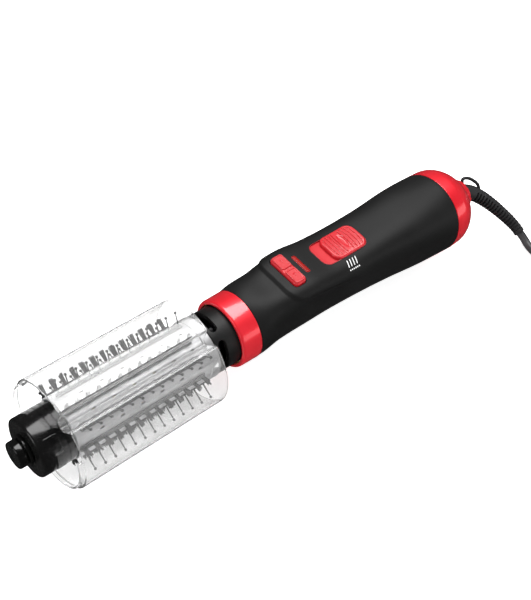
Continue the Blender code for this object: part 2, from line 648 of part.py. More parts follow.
def make_blower():
    start = X_DUCT
    duct = make_piece("fan_duct", pipe(start, start + DUCT_LENGTH, DUCT_RADIUS, DUCT_RADIUS - DUCT_WALL, 28), SOFT_BLACK, AXIS)
    cradle_end = start + 12 * MM
    cradle = pipe(start + 2 * MM, cradle_end, MOTOR_RADIUS + GAP + 1.2 * MM, MOTOR_RADIUS + GAP, 28)
    spokes = []
    for number in range(3):
        spoke = block((start + 2.4 * MM, -0.7 * MM, MOTOR_RADIUS + 0.9 * MM), (cradle_end - 0.4 * MM, 0.7 * MM, DUCT_RADIUS - 0.5 * MM))
        bmesh.ops.rotate(spoke, verts=spoke.verts, cent=(0, 0, 0), matrix=Matrix.Rotation(math.radians(120 * number + 60), 3, "X"))
        spokes.append(make_tool(f"duct_spoke_{number}", spoke, AXIS))
    combine(duct, make_tool("motor_cradle", cradle, AXIS), "UNION")
    for spoke in spokes:
        combine(duct, spoke, "UNION")

    motor_end = start + MOTOR_LENGTH
    chamfer = 1.2 * MM
    motor = [(start, 0.0), (start, MOTOR_RADIUS - chamfer), (start + chamfer, MOTOR_RADIUS),
             (motor_end - chamfer, MOTOR_RADIUS), (motor_end, MOTOR_RADIUS - chamfer),
             (motor_end, 3.5 * MM), (motor_end + 1.5 * MM, 3.5 * MM), (motor_end + 1.5 * MM, 0.0)]
    make_piece("fan_motor", turned(motor, 24, solid=True), STEEL, AXIS)

    fan_start = motor_end + 3.0 * MM
    fan_end = fan_start + 11.0 * MM
    hub = [(motor_end + 1.5 * MM + GAP, 0.0), (motor_end + 1.5 * MM + GAP, 1.0 * MM), (fan_start, 1.0 * MM), (fan_start, 6.0 * MM),
           (fan_end - 2 * MM, 6.0 * MM), (fan_end, 4.0 * MM), (fan_end, 0.0)]
    fan = make_piece("fan_impeller", turned(hub, 20, solid=True), SOFT_BLACK, AXIS)
    for number in range(FAN_BLADES):
        blade = block((-BLADE_CHORD / 2, -BLADE_THICKNESS / 2, 4.6 * MM), (BLADE_CHORD / 2, BLADE_THICKNESS / 2, FAN_RADIUS))
        bmesh.ops.rotate(blade, verts=blade.verts, cent=(0, 0, 0), matrix=Matrix.Rotation(math.radians(BLADE_PITCH), 3, "Z"))
        bmesh.ops.rotate(blade, verts=blade.verts, cent=(0, 0, 0), matrix=Matrix.Rotation(math.tau * number / FAN_BLADES, 3, "X"))
        bmesh.ops.translate(blade, verts=blade.verts, vec=((fan_start + fan_end) / 2 - 0.6 * MM, 0, 0))
        combine(fan, make_tool(f"fan_blade_{number}", blade, AXIS), "UNION")


# ---------------------------------------------------------------- drive and heater

def make_drive():
    """The slotted hub with its internal gear, its bush, the pinion, the plate and the gear motor."""
    shoulder = X_BARREL_END + GAP
    front = X_BARREL_END - SPIGOT_LENGTH
    spigot = BARREL_RADIUS - BARREL_WALL - GAP
    gear_tip = RING_PITCH_RADIUS - 0.75 * GEAR_MODULE
    gear_start = X_HUB_END - GEAR_WIDTH - 0.6 * MM
    outline = [(front, spigot), (shoulder, spigot), (shoulder, NECK_RADIUS), (X_HUB_END, NECK_RADIUS),
               (X_HUB_END, gear_tip), (gear_start, gear_tip), (gear_start - 0.6 * MM, HUB_BORE), (front, HUB_BORE)]
    hub = make_piece("drive_hub", turned(outline, 36), SOFT_BLACK, AXIS)
    for number in range(SLOT_COUNT):
        turn = NOTCH_ANGLE - 46.0 + number * 360.0 / SLOT_COUNT
        slot = wrapped_slot(shoulder + SLOT_SETBACK, turn, SLOT_ANGLE / 2, SLOT_WIDTH, HUB_BORE - 1 * MM, NECK_RADIUS + 2 * MM, 8)
        combine(hub, make_tool(f"hub_slot_{number}", slot, AXIS))
    gaps = gear_outline(RING_TEETH, gear_tip - 0.5 * MM, RING_PITCH_RADIUS + 0.95 * GEAR_MODULE, 0.74, 0.62)
    combine(hub, make_tool("ring_gear_gaps", gear_prism(gaps, gear_start + 0.2 * MM, X_HUB_END + 1 * MM), AXIS))

    bush_outer = COLLAR_RADIUS - COLLAR_WALL - GAP
    make_piece("hub_bush", pipe(X_COLLAR + 2.2 * MM + GAP, X_SHELL - 2 * MM, bush_outer, NECK_RADIUS + GAP, 32), BRASS, AXIS)

    anchor = make_anchor("pinion_axis", (0, 0, -PINION_DROP), AXIS)
    teeth = gear_outline(PINION_TEETH, PINION_PITCH_RADIUS - 0.95 * GEAR_MODULE, PINION_PITCH_RADIUS + 0.7 * GEAR_MODULE, 0.42, 0.2)
    pinion = make_piece("drive_pinion", gear_prism(teeth, X_HUB_END - GEAR_WIDTH, X_HUB_END - 0.4 * MM), BRASS, anchor)
    plate_x = X_SHELL + 1.5 * MM
    motor_x = plate_x + 2.4 * MM
    shaft = rod(X_HUB_END - GEAR_WIDTH - 1.5 * MM, motor_x - GAP, 1.0 * MM, 12)
    combine(pinion, make_tool("pinion_shaft", shaft, anchor), "UNION")

    plate_radius = COLLAR_RADIUS - 0.2 * MM - SHELL_WALL - 2 * GAP
    plate = make_piece("gearbox_plate", pipe(plate_x, plate_x + 2 * MM, plate_radius, 6.6 * MM + GAP, 28), SOFT_BLACK, AXIS)
    combine(plate, make_tool("plate_bore", rod(plate_x - 2 * MM, plate_x + 4 * MM, 1.4 * MM, 12), anchor))
    for number, turn in enumerate((-60.0, 0.0, 60.0)):
        vent = wrapped_slot(plate_x + 1 * MM, turn, 24.0, 6 * MM, 9 * MM, 14 * MM, 4)
        combine(plate, make_tool(f"plate_vent_{number}", vent, AXIS))

    room = handle_section(motor_x + 20 * MM)[2] - SHELL_WALL
    low = PINION_DROP - room * 0.86
    body = block((motor_x, -6.0 * MM, low), (motor_x + 24 * MM, 6.0 * MM, low + 9.4 * MM))
    make_piece("gear_motor", body, STEEL, anchor)


def make_heater():
    """The mica tube, cross and wire inside the barrel, on a neck that stays with the handle."""
    end = X_BARREL_END - SPIGOT_LENGTH + 6.0 * MM
    start = X_BARREL + CAP_PLUG_LENGTH + HEATER_SETBACK
    bore = HEATER_TUBE_RADIUS - HEATER_TUBE_WALL
    make_piece("heater_tube", pipe(start, end, HEATER_TUBE_RADIUS, bore, 28), MICA, AXIS)

    plate_x = X_SHELL + 1.5 * MM
    neck_outer = PINION_DROP - PINION_PITCH_RADIUS - 0.7 * GEAR_MODULE - 0.84 * MM
    neck_inner = neck_outer - 1.2 * MM
    web = end + GAP
    outline = [(web, HEATER_TUBE_RADIUS), (web + 1.6 * MM, HEATER_TUBE_RADIUS), (web + 1.6 * MM, neck_outer),
               (plate_x + 1.8 * MM, neck_outer), (plate_x + 1.8 * MM, neck_inner), (web, neck_inner)]
    mount = make_piece("heater_mount", turned(outline, 24), STEEL, AXIS)
    for number in range(4):
        vent = wrapped_slot(web + 0.8 * MM, 45.0 + number * 90.0, 30.0, 5 * MM, neck_outer + 1.4 * MM, HEATER_TUBE_RADIUS - 1.5 * MM, 4)
        combine(mount, make_tool(f"mount_vent_{number}", vent, AXIS))

    wing = bore - 2.3 * MM
    half = 0.4 * MM
    x0, x1 = start + 3 * MM, end - 4 * MM
    frame = make_piece("heater_frame", block((x0, -wing, -half), (x1, wing, half)), MICA, AXIS)
    combine(frame, make_tool("frame_wing", block((x0 + 0.5 * MM, -half, -wing), (x1 - 0.5 * MM, half, wing)), AXIS), "UNION")

    turns = HEATER_TURNS * 8
    wire = 0.35 * MM
    radius = bore - 1.1 * MM
    route = [polar(x0 + 3 * MM + (x1 - x0 - 6 * MM) * k / turns, radius, 45.0 * k) for k in range(turns + 1)]
    make_tube("heater_coil", route, wire, STEEL, AXIS, 0)

    seat = x1 + GAP
    disc = [(seat, 0.0), (seat, 4.2 * MM), (seat + 2.2 * MM, 4.2 * MM), (seat + 2.2 * MM, 2.2 * MM), (seat + 3.0 * MM, 2.2 * MM), (seat + 3.0 * MM, 0.0)]
    make_piece("thermostat", turned(disc, 20, solid=True), BRASS, AXIS)


# ---------------------------------------------------------------- brush head

def row_angle(number):
    """Rows alternate round the barrel and the cover's groove lies midway between two of them."""
    return NOTCH_ANGLE + (number + 0.5) * 180.0 / ROWS_PER_KIND


def bristle_stations(shift=0.0):
    """Stations of the bristles: as many as fit between the barrel's front edge and its flange."""
    count = int((X_FLANGE - X_BARREL - 2 * ROW_STAGGER + 0.3 * MM) / BRISTLE_PITCH)
    middle = (X_BARREL + X_FLANGE) / 2 - ROWS_FORWARD + shift
    return [middle + (k - (count - 1) / 2) * BRISTLE_PITCH for k in range(count)]


def make_strip(turn, stations):
    """The base strip of a bristle row, lying on the barrel."""
    seat = BARREL_RADIUS + GAP
    margin = 1.9 * MM
    strip = block((stations[0] - margin, -STRIP_WIDTH / 2, seat), (stations[-1] + margin, STRIP_WIDTH / 2, seat + STRIP_THICKNESS))
    bmesh.ops.rotate(strip, verts=strip.verts, cent=(0, 0, 0), matrix=Matrix.Rotation(math.radians(-turn), 3, "X"))
    return strip


def bristle(profile, sides, x, turn, stretch=1.0):
    """One bristle: rings of (radius from the axis, half thickness), swept up from the strip."""
    shape = bmesh.new()
    rings = []
    for reach, half in profile:
        ring = []
        for k in range(sides):
            around = math.tau * (k + 0.5) / sides
            ring.append(shape.verts.new((x + stretch * half * math.cos(around), half * math.sin(around), reach)))
        rings.append(ring)
    for first, second in zip(rings, rings[1:]):
        for k in range(sides):
            shape.faces.new((first[k], first[(k + 1) % sides], second[(k + 1) % sides], second[k]))
    shape.faces.new(rings[0])
    shape.faces.new(rings[-1])
    bmesh.ops.rotate(shape, verts=shape.verts, cent=(0, 0, 0), matrix=Matrix.Rotation(math.radians(-turn), 3, "X"))
    return shape


def make_bristle_rows():
    foot = BARREL_RADIUS + GAP + STRIP_THICKNESS * 0.4
    ball = 0.75 * MM
    pin = [(foot, 0.45 * MM), (PIN_REACH - 2.4 * ball, 0.35 * MM), (PIN_REACH - 1.1 * ball, ball), (PIN_REACH, 0.4 * ball)]
    tuft = [(foot, 0.8 * MM), (TUFT_REACH, 1.25 * MM)]
    for number in range(2 * ROWS_PER_KIND):
        turn = row_angle(number)
        is_tuft = number % 2 == 0
        kind = "tuft_row" if is_tuft else "pin_row"
        name = f"{kind}_{number // 2 + 1}"
        stations = bristle_stations(-ROW_STAGGER if is_tuft else ROW_STAGGER)
        shapes = [bristle(tuft if is_tuft else pin, 4 if is_tuft else 3, x, turn) for x in stations]
        row = make_piece(name, make_strip(turn, stations), SOFT_BLACK, AXIS)
        bristles = add_all(bmesh.new(), shapes)
        combine(row, make_tool(f"{name}_bristles", bristles, AXIS), "UNION")


def make_barrel():
    bore = BARREL_RADIUS - BARREL_WALL
    outline = [(X_BARREL, BARREL_RADIUS), (X_FLANGE, BARREL_RADIUS), (X_FLANGE, FLANGE_RADIUS),
               (X_BARREL_END, FLANGE_RADIUS), (X_BARREL_END, bore), (X_BARREL, bore)]
    barrel = make_piece("brush_barrel", turned(outline, 36), DARK_METAL, AXIS)
    stations = bristle_stations()
    vents = []
    for number in range(ROWS_PER_KIND):
        turn = NOTCH_ANGLE + number * 360.0 / ROWS_PER_KIND
        for k in range(4):
            x = stations[1 + k * (len(stations) // 4)] + BRISTLE_PITCH / 2
            vent = block((x - 2.2 * MM, -1.0 * MM, bore - 1 * MM), (x + 2.2 * MM, 1.0 * MM, BARREL_RADIUS + 1 * MM))
            bmesh.ops.rotate(vent, verts=vent.verts, cent=(0, 0, 0), matrix=Matrix.Rotation(math.radians(-turn), 3, "X"))
            vents.append(vent)
    combine(barrel, make_tool("barrel_vents", add_all(bmesh.new(), vents), AXIS))


def make_tip():
    """The end cap and the cool tip that turns freely in it."""
    fillet = 1.3 * MM
    wall = 2.2 * MM
    hole = 3.3 * MM
    plug = BARREL_RADIUS - BARREL_WALL - GAP
    outer = [(X_FACE, hole)]
    for a in (0, 30, 60, 90):
        turn = math.radians(a)
        outer.append((X_FACE + fillet - fillet * math.cos(turn), END_CAP_RADIUS - fillet + fillet * math.sin(turn)))
    outer += [(X_BARREL - GAP, END_CAP_RADIUS), (X_BARREL - GAP, plug), (X_BARREL + CAP_PLUG_LENGTH, plug),
              (X_BARREL + CAP_PLUG_LENGTH, plug - 1.4 * MM), (X_FACE + wall + 2 * MM, plug - 1.4 * MM),
              (X_FACE + wall, plug - 3.2 * MM), (X_FACE + wall, hole)]
    make_piece("end_cap", turned(outer, 32), BLACK_GLOSS, AXIS)

    seat = X_FACE - GAP
    stem_end = X_FACE + wall + GAP
    knob = [(X_TIP, 0.0), (X_TIP, KNOB_RADIUS - 0.6 * MM), (X_TIP + 0.6 * MM, KNOB_RADIUS), (X_TIP + 3.8 * MM, KNOB_RADIUS),
            (X_TIP + 3.8 * MM, KNOB_RADIUS - 1.2 * MM), (X_TIP + 4.6 * MM, KNOB_RADIUS - 1.2 * MM),
            (X_TIP + 4.6 * MM, KNOB_RADIUS + 0.9 * MM), (seat, KNOB_RADIUS + 0.9 * MM), (seat, hole - GAP), (stem_end, hole - GAP), (stem_end, 0.0)]
    make_piece("tip_knob", turned(knob, 24, solid=True), BLACK_GLOSS, AXIS)
    clip = stem_end + GAP
    screw = [(clip, 0.0), (clip, 5.4 * MM), (clip + 1.0 * MM, 5.4 * MM), (clip + 1.0 * MM, 2.6 * MM), (clip + 2.4 * MM, 2.2 * MM), (clip + 2.4 * MM, 0.0)]
    make_piece("tip_screw", turned(screw, 20, solid=True), STEEL, AXIS)


def cover_section(radius, offset):
    """Points round the cover: a circle that folds inward in one V-shaped groove."""
    points = []
    arc = 38
    half_mouth = math.radians(NOTCH_HALF_MOUTH)
    for k in range(arc + 1):
        turn = half_mouth + (math.tau - 2 * half_mouth) * k / arc
        points.append((radius - offset, turn))
    outward = offset / (radius * 0.9)
    floor = BARREL_RADIUS + NOTCH_CLEARANCE - offset
    floor_half = (NOTCH_FLOOR_HALF + offset * 0.9) / floor
    lip = radius - offset - 0.7 * MM
    fold = [(lip, -half_mouth * 0.88 - outward), (floor, -floor_half), (floor, floor_half), (lip, half_mouth * 0.88 + outward)]
    points[0] = (radius - offset, half_mouth + outward)
    points[arc] = (radius - offset, math.tau - half_mouth - outward)
    return [(r, math.degrees(turn) + NOTCH_ANGLE) for r, turn in points + fold]


def make_cover():
    """The clear sleeve, open at both ends, with a narrower front rim."""
    stations = ((X_COVER - 2.3 * MM, COVER_RADIUS - COVER_RIM_STEP), (X_COVER - 2.3 * MM + COVER_RIM_LENGTH, COVER_RADIUS - COVER_RIM_STEP),
                (X_COVER - 1.9 * MM + COVER_RIM_LENGTH, COVER_RADIUS), (X_COVER_END, COVER_RADIUS))
    shape = bmesh.new()
    skins = []
    for offset in (0.0, COVER_WALL):
        rings = [[shape.verts.new(polar(x, r, a)) for r, a in cover_section(radius, offset)] for x, radius in stations]
        skins.append(rings)
        count = len(rings[0])
        for first, second in zip(rings, rings[1:]):
            for k in range(count):
                shape.faces.new((first[k], first[(k + 1) % count], second[(k + 1) % count], second[k]))
    for end in (0, -1):
        outer, inner = skins[0][end], skins[1][end]
        for k in range(len(outer)):
            shape.faces.new((outer[k], outer[(k + 1) % len(outer)], inner[(k + 1) % len(outer)], inner[k]))
    make_piece("clear_cover", shape, CLEAR, AXIS)


# ---------------------------------------------------------------- cord

def cord_points():
    """The guard's and the free lead's route, chosen by hand, from the boss to the coil's edge."""
    guard = ((1.1, 0, 0), (4.6, -0.7, -0.4), (10.5, -4.2, -2.6), (17.5, -11.0, -7.6), (24.0, -19.5, -14.0),
             (28.3, -27.0, -19.4), (29.6, -32.4, -22.6))
    lead = ((29.9, -36.5, -24.6), (29.2, -40.8, -26.0), (28.15, -46.5, -26.2), (28.3, -55.0, -26.2), (31.2, -66.0, -26.2))
    guard = [Vector((X_END, 0, 0)) + Vector(p) * MM for p in guard]
    lead = [Vector((X_END, 0, 0)) + Vector(p) * MM for p in lead]
    return guard, lead


def make_guard():
    """The ribbed bend guard, its hanging loop and the bush that holds it."""
    guard, lead = cord_points()
    start = X_END - 5.0 * MM
    bush = [(start - 3.4 * MM, BOSS_RADIUS - 1.6 * MM), (start - 1.4 * MM, BOSS_RADIUS - 1.6 * MM), (start - 1.4 * MM, 5.9 * MM),
            (X_END - 0.4 * MM, 5.9 * MM), (X_END - 0.4 * MM, 3.2 * MM), (start - 3.4 * MM, 3.2 * MM)]
    make_piece("swivel_bush", turned(bush, 24), SOFT_BLACK, AXIS)

    count = 2 * GUARD_RIBS + 7
    route = smooth_route(guard, count)
    shape = bmesh.new()
    rings = []
    for k, place in enumerate(route):
        ahead = route[min(k + 1, count - 1)] - route[max(k - 1, 0)]
        across = ahead.cross(Vector((0, 0, 1))).normalized()
        over = across.cross(ahead).normalized()
        share = k / (count - 1)
        radius = GUARD_BASE_RADIUS + (GUARD_END_RADIUS - GUARD_BASE_RADIUS) * share
        if k > 7 and k % 2:
            radius -= 0.7 * MM
        rings.append([shape.verts.new(place + radius * (math.cos(a) * across + math.sin(a) * over))
                      for a in (math.tau * i / 8 for i in range(8))])
    for first, second in zip(rings, rings[1:]):
        for i in range(8):
            shape.faces.new((first[i], first[(i + 1) % 8], second[(i + 1) % 8], second[i]))
    shape.faces.new(rings[0])
    shape.faces.new(rings[-1])
    make_piece("cord_guard", shape, RUBBER, AXIS)

    up = Vector((0.1, 0.62, 0.78))
    near = route[2] + up * (GUARD_BASE_RADIUS + 2.6 * MM)
    far = route[12] + up * (GUARD_BASE_RADIUS + 2.2 * MM)
    arch = [near, near + up * 3.0 * MM + (far - near) * 0.1, (near + far) / 2 + up * 5.0 * MM, far + up * 3.4 * MM - (far - near) * 0.08, far]
    make_tube("hanging_loop", smooth_route(arch, 14), 0.8 * MM, RUBBER, AXIS, 1)


def make_cord():
    guard, lead = cord_points()
    away = (lead[0] - guard[-1]).normalized()
    lead = [guard[-1] + away * (GAP + 0.2 * MM)] + lead
    make_tube("cord_lead", smooth_route(lead, 24), CORD_DIAMETER / 2, RUBBER, AXIS, 2)

    centre_x, centre_y = COIL_CENTRE
    inner, outer = COIL_MEAN_RADIUS - COIL_SECTION / 2, COIL_MEAN_RADIUS + COIL_SECTION / 2
    edge = 2.0 * MM
    ring = [(0.0, outer - edge), (edge, outer), (COIL_SECTION - edge, outer), (COIL_SECTION, outer - edge),
            (COIL_SECTION, inner + edge), (COIL_SECTION - edge, inner), (edge, inner), (0.0, inner + edge)]
    shape = turned(ring, 28)
    bmesh.ops.rotate(shape, verts=shape.verts, cent=(0, 0, 0), matrix=Matrix.Rotation(math.radians(-90), 3, "Y"))
    bmesh.ops.translate(shape, verts=shape.verts, vec=(centre_x, centre_y, -AXIS_Z + 0.2 * MM))
    make_piece("cord_coil", shape, RUBBER, AXIS)

    tail_x, plug_start, tail_z = centre_x + 20 * MM, centre_y + 1 * MM, 23.5 * MM - AXIS_Z
    tail = []
    for turn, radius, height in ((200, 21.5, 19.1), (235, 21.0, 19.4), (270, 20.6, 20.6), (300, 20.3, 22.2), (325, 20.2, 23.3),
                                 (346, 20.3, 23.5)):
        turn = math.radians(turn)
        tail.append(Vector((centre_x + radius * MM * math.cos(turn), centre_y + radius * MM * math.sin(turn), height * MM - AXIS_Z)))
    tail.append(Vector((tail_x, plug_start - GAP, tail_z)))
    make_tube("cord_tail", smooth_route(tail, 14), CORD_DIAMETER / 2, RUBBER, AXIS, 2)

    outline = [(0.0, 3.6, 3.6), (8.0, 4.4, 4.4), (14.0, 7.5, 5.8), (20.0, 12.6, 7.0), (34.0, 13.0, 7.0), (36.0, 12.0, 6.2)]
    shape = bmesh.new()
    rings = []
    for along, half_wide, half_tall in outline:
        ring = []
        for i in range(16):
            turn = math.tau * i / 16
            ring.append(shape.verts.new((tail_x + half_wide * MM * math.copysign(abs(math.cos(turn)) ** 0.7, math.cos(turn)),
                                         plug_start + along * MM,
                                         tail_z + half_tall * MM * math.copysign(abs(math.sin(turn)) ** 0.7, math.sin(turn)))))
        rings.append(ring)
    for first, second in zip(rings, rings[1:]):
        for i in range(16):
            shape.faces.new((first[i], first[(i + 1) % 16], second[(i + 1) % 16], second[i]))
    shape.faces.new(rings[0])
    shape.faces.new(rings[-1])
    make_piece("mains_plug", shape, RUBBER, AXIS)
    for side in (-1, 1):
        pin = rod(0.0, 19.0 * MM, 2.0 * MM, 14)
        bmesh.ops.rotate(pin, verts=pin.verts, cent=(0, 0, 0), matrix=Matrix.Rotation(math.radians(90), 3, "Z"))
        bmesh.ops.translate(pin, verts=pin.verts, vec=(tail_x + side * 9.5 * MM, plug_start + 36 * MM + GAP, tail_z))
        make_piece(f"plug_pin_{1 if side < 0 else 2}", pin, STEEL, AXIS)


def make_inner_lead():
    """The lead inside the handle, from the bush past the duct to the board."""
    high = DUCT_RADIUS + 1.9 * MM
    route = [Vector((X_END - 9.5 * MM, 0, 0)), Vector((X_REAR + 12 * MM, 1.0 * MM, 2.0 * MM)), polar(X_REAR + 6 * MM, 4.5 * MM, 40)]
    route += [polar(X_REAR + 2.4 * MM, 6.6 * MM, 42), polar(X_REAR + 0.4 * MM, 13.0 * MM, 43), polar(X_REAR - 1.2 * MM, 17.5 * MM, 43)]
    route += [polar(X_REAR - 7 * MM, high, 43), polar(X_DUCT + 10 * MM, high, 43), polar(X_DUCT - 2.5 * MM, high, 43), Vector((X_DUCT - 7 * MM, 8.5 * MM, BOARD_TOP + 2.0 * MM)),
              Vector((X_DUCT - 13 * MM, 8.0 * MM, BOARD_TOP + 1.6 * MM))]
    make_tube("inner_lead", smooth_route(route, 32), 1.1 * MM, RUBBER, AXIS, 1)


clear_scene()
PARTS = new_collection("hot_air_brush")
CUTTERS = new_collection("cutters")

SOFT_BLACK = make_material("soft_black", (0.025, 0.025, 0.025), 0.55)
BLACK_GLOSS = make_material("black_gloss", (0.01, 0.01, 0.01), 0.12)
RED_METAL = make_material("red_metal", (0.75, 0.02, 0.03), 0.25, 0.7)
RED_GLOSS = make_material("red_gloss", (0.8, 0.03, 0.05), 0.2)
LENS_RED = make_material("lens_red", (0.45, 0.01, 0.01), 0.15)
DARK_METAL = make_material("dark_metal", (0.12, 0.12, 0.12), 0.4, 0.8)
CLEAR = make_material("clear", (0.95, 0.96, 0.97), 0.05, 0.0, 0.25)
RUBBER = make_material("rubber", (0.03, 0.03, 0.03), 0.6)
STEEL = make_material("steel", (0.6, 0.6, 0.6), 0.3, 1.0)
BRASS = make_material("brass", (0.75, 0.55, 0.25), 0.3, 1.0)
MICA = make_material("mica", (0.65, 0.55, 0.4), 0.5)
BOARD_GREEN = make_material("board_green", (0.02, 0.18, 0.08), 0.5)
TOOL_FINISH = make_material("tool", (0.5, 0.5, 0.5), 0.5)

AXIS = make_anchor("brush_axis", (0, 0, AXIS_Z))

make_shells()
make_front_collar()
make_rear_cap()
make_inlet_screen()
make_screws()
make_chassis()
make_board()
make_rocker()
make_lens()
make_slide()
make_blower()
make_drive()
make_heater()
make_barrel()
make_bristle_rows()
make_tip()
make_cover()
make_guard()
make_cord()
make_inner_lead()
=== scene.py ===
"""Looks of a rotating hot air brush: smooth skins, bristles, a clear sleeve and a coiled lead.

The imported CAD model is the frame. The brush lies along X, its tip at -X, its controls facing +Z.
Angles round the brush axis start at +Z and turn towards +Y. Lengths are in metres.
"""

import math

import bmesh
import bpy
import numpy as np
from mathutils import Euler, Matrix, Vector


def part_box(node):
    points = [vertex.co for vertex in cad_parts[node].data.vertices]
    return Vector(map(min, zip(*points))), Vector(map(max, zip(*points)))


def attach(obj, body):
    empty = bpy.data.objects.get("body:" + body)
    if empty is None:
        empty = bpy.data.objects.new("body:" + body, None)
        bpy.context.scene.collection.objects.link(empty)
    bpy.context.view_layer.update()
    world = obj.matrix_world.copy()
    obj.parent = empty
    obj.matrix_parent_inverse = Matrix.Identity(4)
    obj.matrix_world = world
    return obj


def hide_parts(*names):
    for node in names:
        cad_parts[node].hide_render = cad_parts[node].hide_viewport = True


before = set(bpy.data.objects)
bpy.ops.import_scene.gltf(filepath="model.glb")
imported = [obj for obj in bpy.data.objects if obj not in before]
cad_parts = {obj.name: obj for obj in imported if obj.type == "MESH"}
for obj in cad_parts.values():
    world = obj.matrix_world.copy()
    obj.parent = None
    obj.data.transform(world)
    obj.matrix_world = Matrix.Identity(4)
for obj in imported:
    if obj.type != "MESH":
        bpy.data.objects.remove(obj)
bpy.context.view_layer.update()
MM = 0.001

# Stations along the axis, taken from the frame
X_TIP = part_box("tip_knob")[0].x
X_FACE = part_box("end_cap")[0].x
X_CAP_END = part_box("end_cap")[1].x
X_COVER, X_COVER_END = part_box("clear_cover")[0].x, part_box("clear_cover")[1].x
X_BARREL, X_BARREL_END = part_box("brush_barrel")[0].x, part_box("brush_barrel")[1].x
X_HUB, X_HUB_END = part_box("drive_hub")[0].x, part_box("drive_hub")[1].x
X_COLLAR, X_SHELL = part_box("front_collar")[0].x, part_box("front_collar")[1].x
X_REAR, X_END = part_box("rear_cap")[0].x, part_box("rear_cap")[1].x


def half_width(node):
    """Half of a node's size across the axis."""
    low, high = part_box(node)
    return (high.z - low.z) / 2


AXIS_Z = (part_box("clear_cover")[0].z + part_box("clear_cover")[1].z) / 2
COVER_R = half_width("clear_cover")
CAP_R = half_width("end_cap")
FLANGE_R = half_width("brush_barrel")
BARREL_R = FLANGE_R - 0.6 * MM
NECK_R = half_width("drive_hub")
COLLAR_R = half_width("front_collar")
REAR_R = half_width("rear_cap")
PIN_TIP_R = COVER_R - 3.7 * MM
TUFT_TIP_R = PIN_TIP_R - 3.0 * MM

GROOVE_ANGLE = -28.0         # degrees round the axis to the sleeve's groove
ROW_COUNT = 10
COVER_WALL = 1.2 * MM
RIM_LENGTH = 2.3 * MM        # the narrower rim before the sleeve's full width
RUNNING_GAP = 0.3 * MM       # between pieces that turn on or seat on each other
SPIGOT_INSET = 1.3 * MM      # from the barrel's outside to the plugs inside it
SHELL_WALL = 1.8 * MM
SEAM_ANGLE = 120.0
SHARP = 35.0                 # degrees past which an edge stays crisp


# ------------------------------------------------------------------ number work

def smooth(value, low, high):
    """A smooth step: 0 below low, 1 above high, and an even S between them."""
    t = np.clip((value - low) / (high - low), 0.0, 1.0)
    return t * t * (3 - 2 * t)


def on_axis(x, radius, degrees):
    """Points at a station, a radius and an angle round the brush axis."""
    turn = np.radians(degrees)
    x, radius, turn = np.broadcast_arrays(x, radius, turn)
    return np.stack([x, radius * np.sin(turn), AXIS_Z + radius * np.cos(turn)], -1)


def eased(points, radii, steps=6, closed=False):
    """A polyline whose corners are replaced by short quadratic curves of the given reach."""
    points = np.asarray(points, float)
    radii = np.broadcast_to(radii, len(points))
    out = []
    for k, (corner, reach) in enumerate(zip(points, radii)):
        at_end = k in (0, len(points) - 1) and not closed
        if reach <= 0 or at_end:
            out.append(corner[None])
            continue
        before, after = points[k - 1] - corner, points[(k + 1) % len(points)] - corner
        a, b = np.linalg.norm(before), np.linalg.norm(after)
        first = corner + before / a * min(reach, a * 0.49)
        last = corner + after / b * min(reach, b * 0.49)
        t = np.linspace(0, 1, steps)[:, None]
        out.append((1 - t) ** 2 * first + 2 * t * (1 - t) * corner + t ** 2 * last)
    return np.vstack(out)


def even_run(points, count, closed=False):
    """The same polyline with its points shared out evenly along its length."""
    points = np.asarray(points, float)
    if closed:
        points = np.vstack([points, points[:1]])
    run = np.concatenate([[0], np.cumsum(np.linalg.norm(np.diff(points, axis=0), axis=1))])
    want = np.linspace(0, run[-1], count + 1)[:-1] if closed else np.linspace(0, run[-1], count)
    return np.stack([np.interp(want, run, points[:, i]) for i in range(points.shape[1])], -1)


def flowing(points, per_span=12):
    """A Catmull-Rom curve through the points, with a fixed number of steps in each span."""
    p = np.asarray(points, float)
    p = np.vstack([2 * p[0] - p[1], p, 2 * p[-1] - p[-2]])
    t = np.linspace(0, 1, per_span, endpoint=False)[None, :, None]
    a, b, c, d = (p[k:len(p) - 3 + k, None] for k in range(4))
    square, cube = 2 * a - 5 * b + 4 * c - d, 3 * b - a - 3 * c + d
    spans = 0.5 * (2 * b + (c - a) * t + square * t ** 2 + cube * t ** 3)
    return np.vstack([spans.reshape(-1, p.shape[1]), p[-2]])


def frames_along(path):
    """Two unit vectors across a path at each of its points, turned as little as possible on the way."""
    ahead = np.gradient(path, axis=0)
    ahead /= np.linalg.norm(ahead, axis=1)[:, None]
    across = np.zeros_like(path)
    start = np.cross(ahead[0], [0.0, 0.0, 1.0])
    across[0] = start / np.linalg.norm(start)
    for k in range(1, len(path)):
        turned_on = across[k - 1] - ahead[k] * (across[k - 1] @ ahead[k])
        across[k] = turned_on / np.linalg.norm(turned_on)
    return across, np.cross(across, ahead)


# ------------------------------------------------------------------ mesh work

def grid_shape(grid, wrap_rows=False, wrap_columns=False, cap_start=False, cap_end=False):
    """Corners and faces of a surface whose points lie on a grid of rows and columns."""
    rows, columns = grid.shape[:2]
    index = np.arange(rows * columns).reshape(rows, columns)
    ring_start, ring_end = index[0].tolist(), index[-1].tolist()
    if wrap_rows:
        index = np.vstack([index, index[:1]])
    if wrap_columns:
        index = np.hstack([index, index[:, :1]])
    quads = np.stack([index[:-1, :-1], index[1:, :-1], index[1:, 1:], index[:-1, 1:]], -1).reshape(-1, 4)
    faces = quads.tolist()
    if cap_start:
        faces.append(ring_start[::-1])
    if cap_end:
        faces.append(ring_end)
    return grid.reshape(-1, 3), faces


def solid_of(rings):
    """A closed solid through a row of rings, with a flat cap at each end."""
    return grid_shape(rings, wrap_columns=True, cap_start=True, cap_end=True)


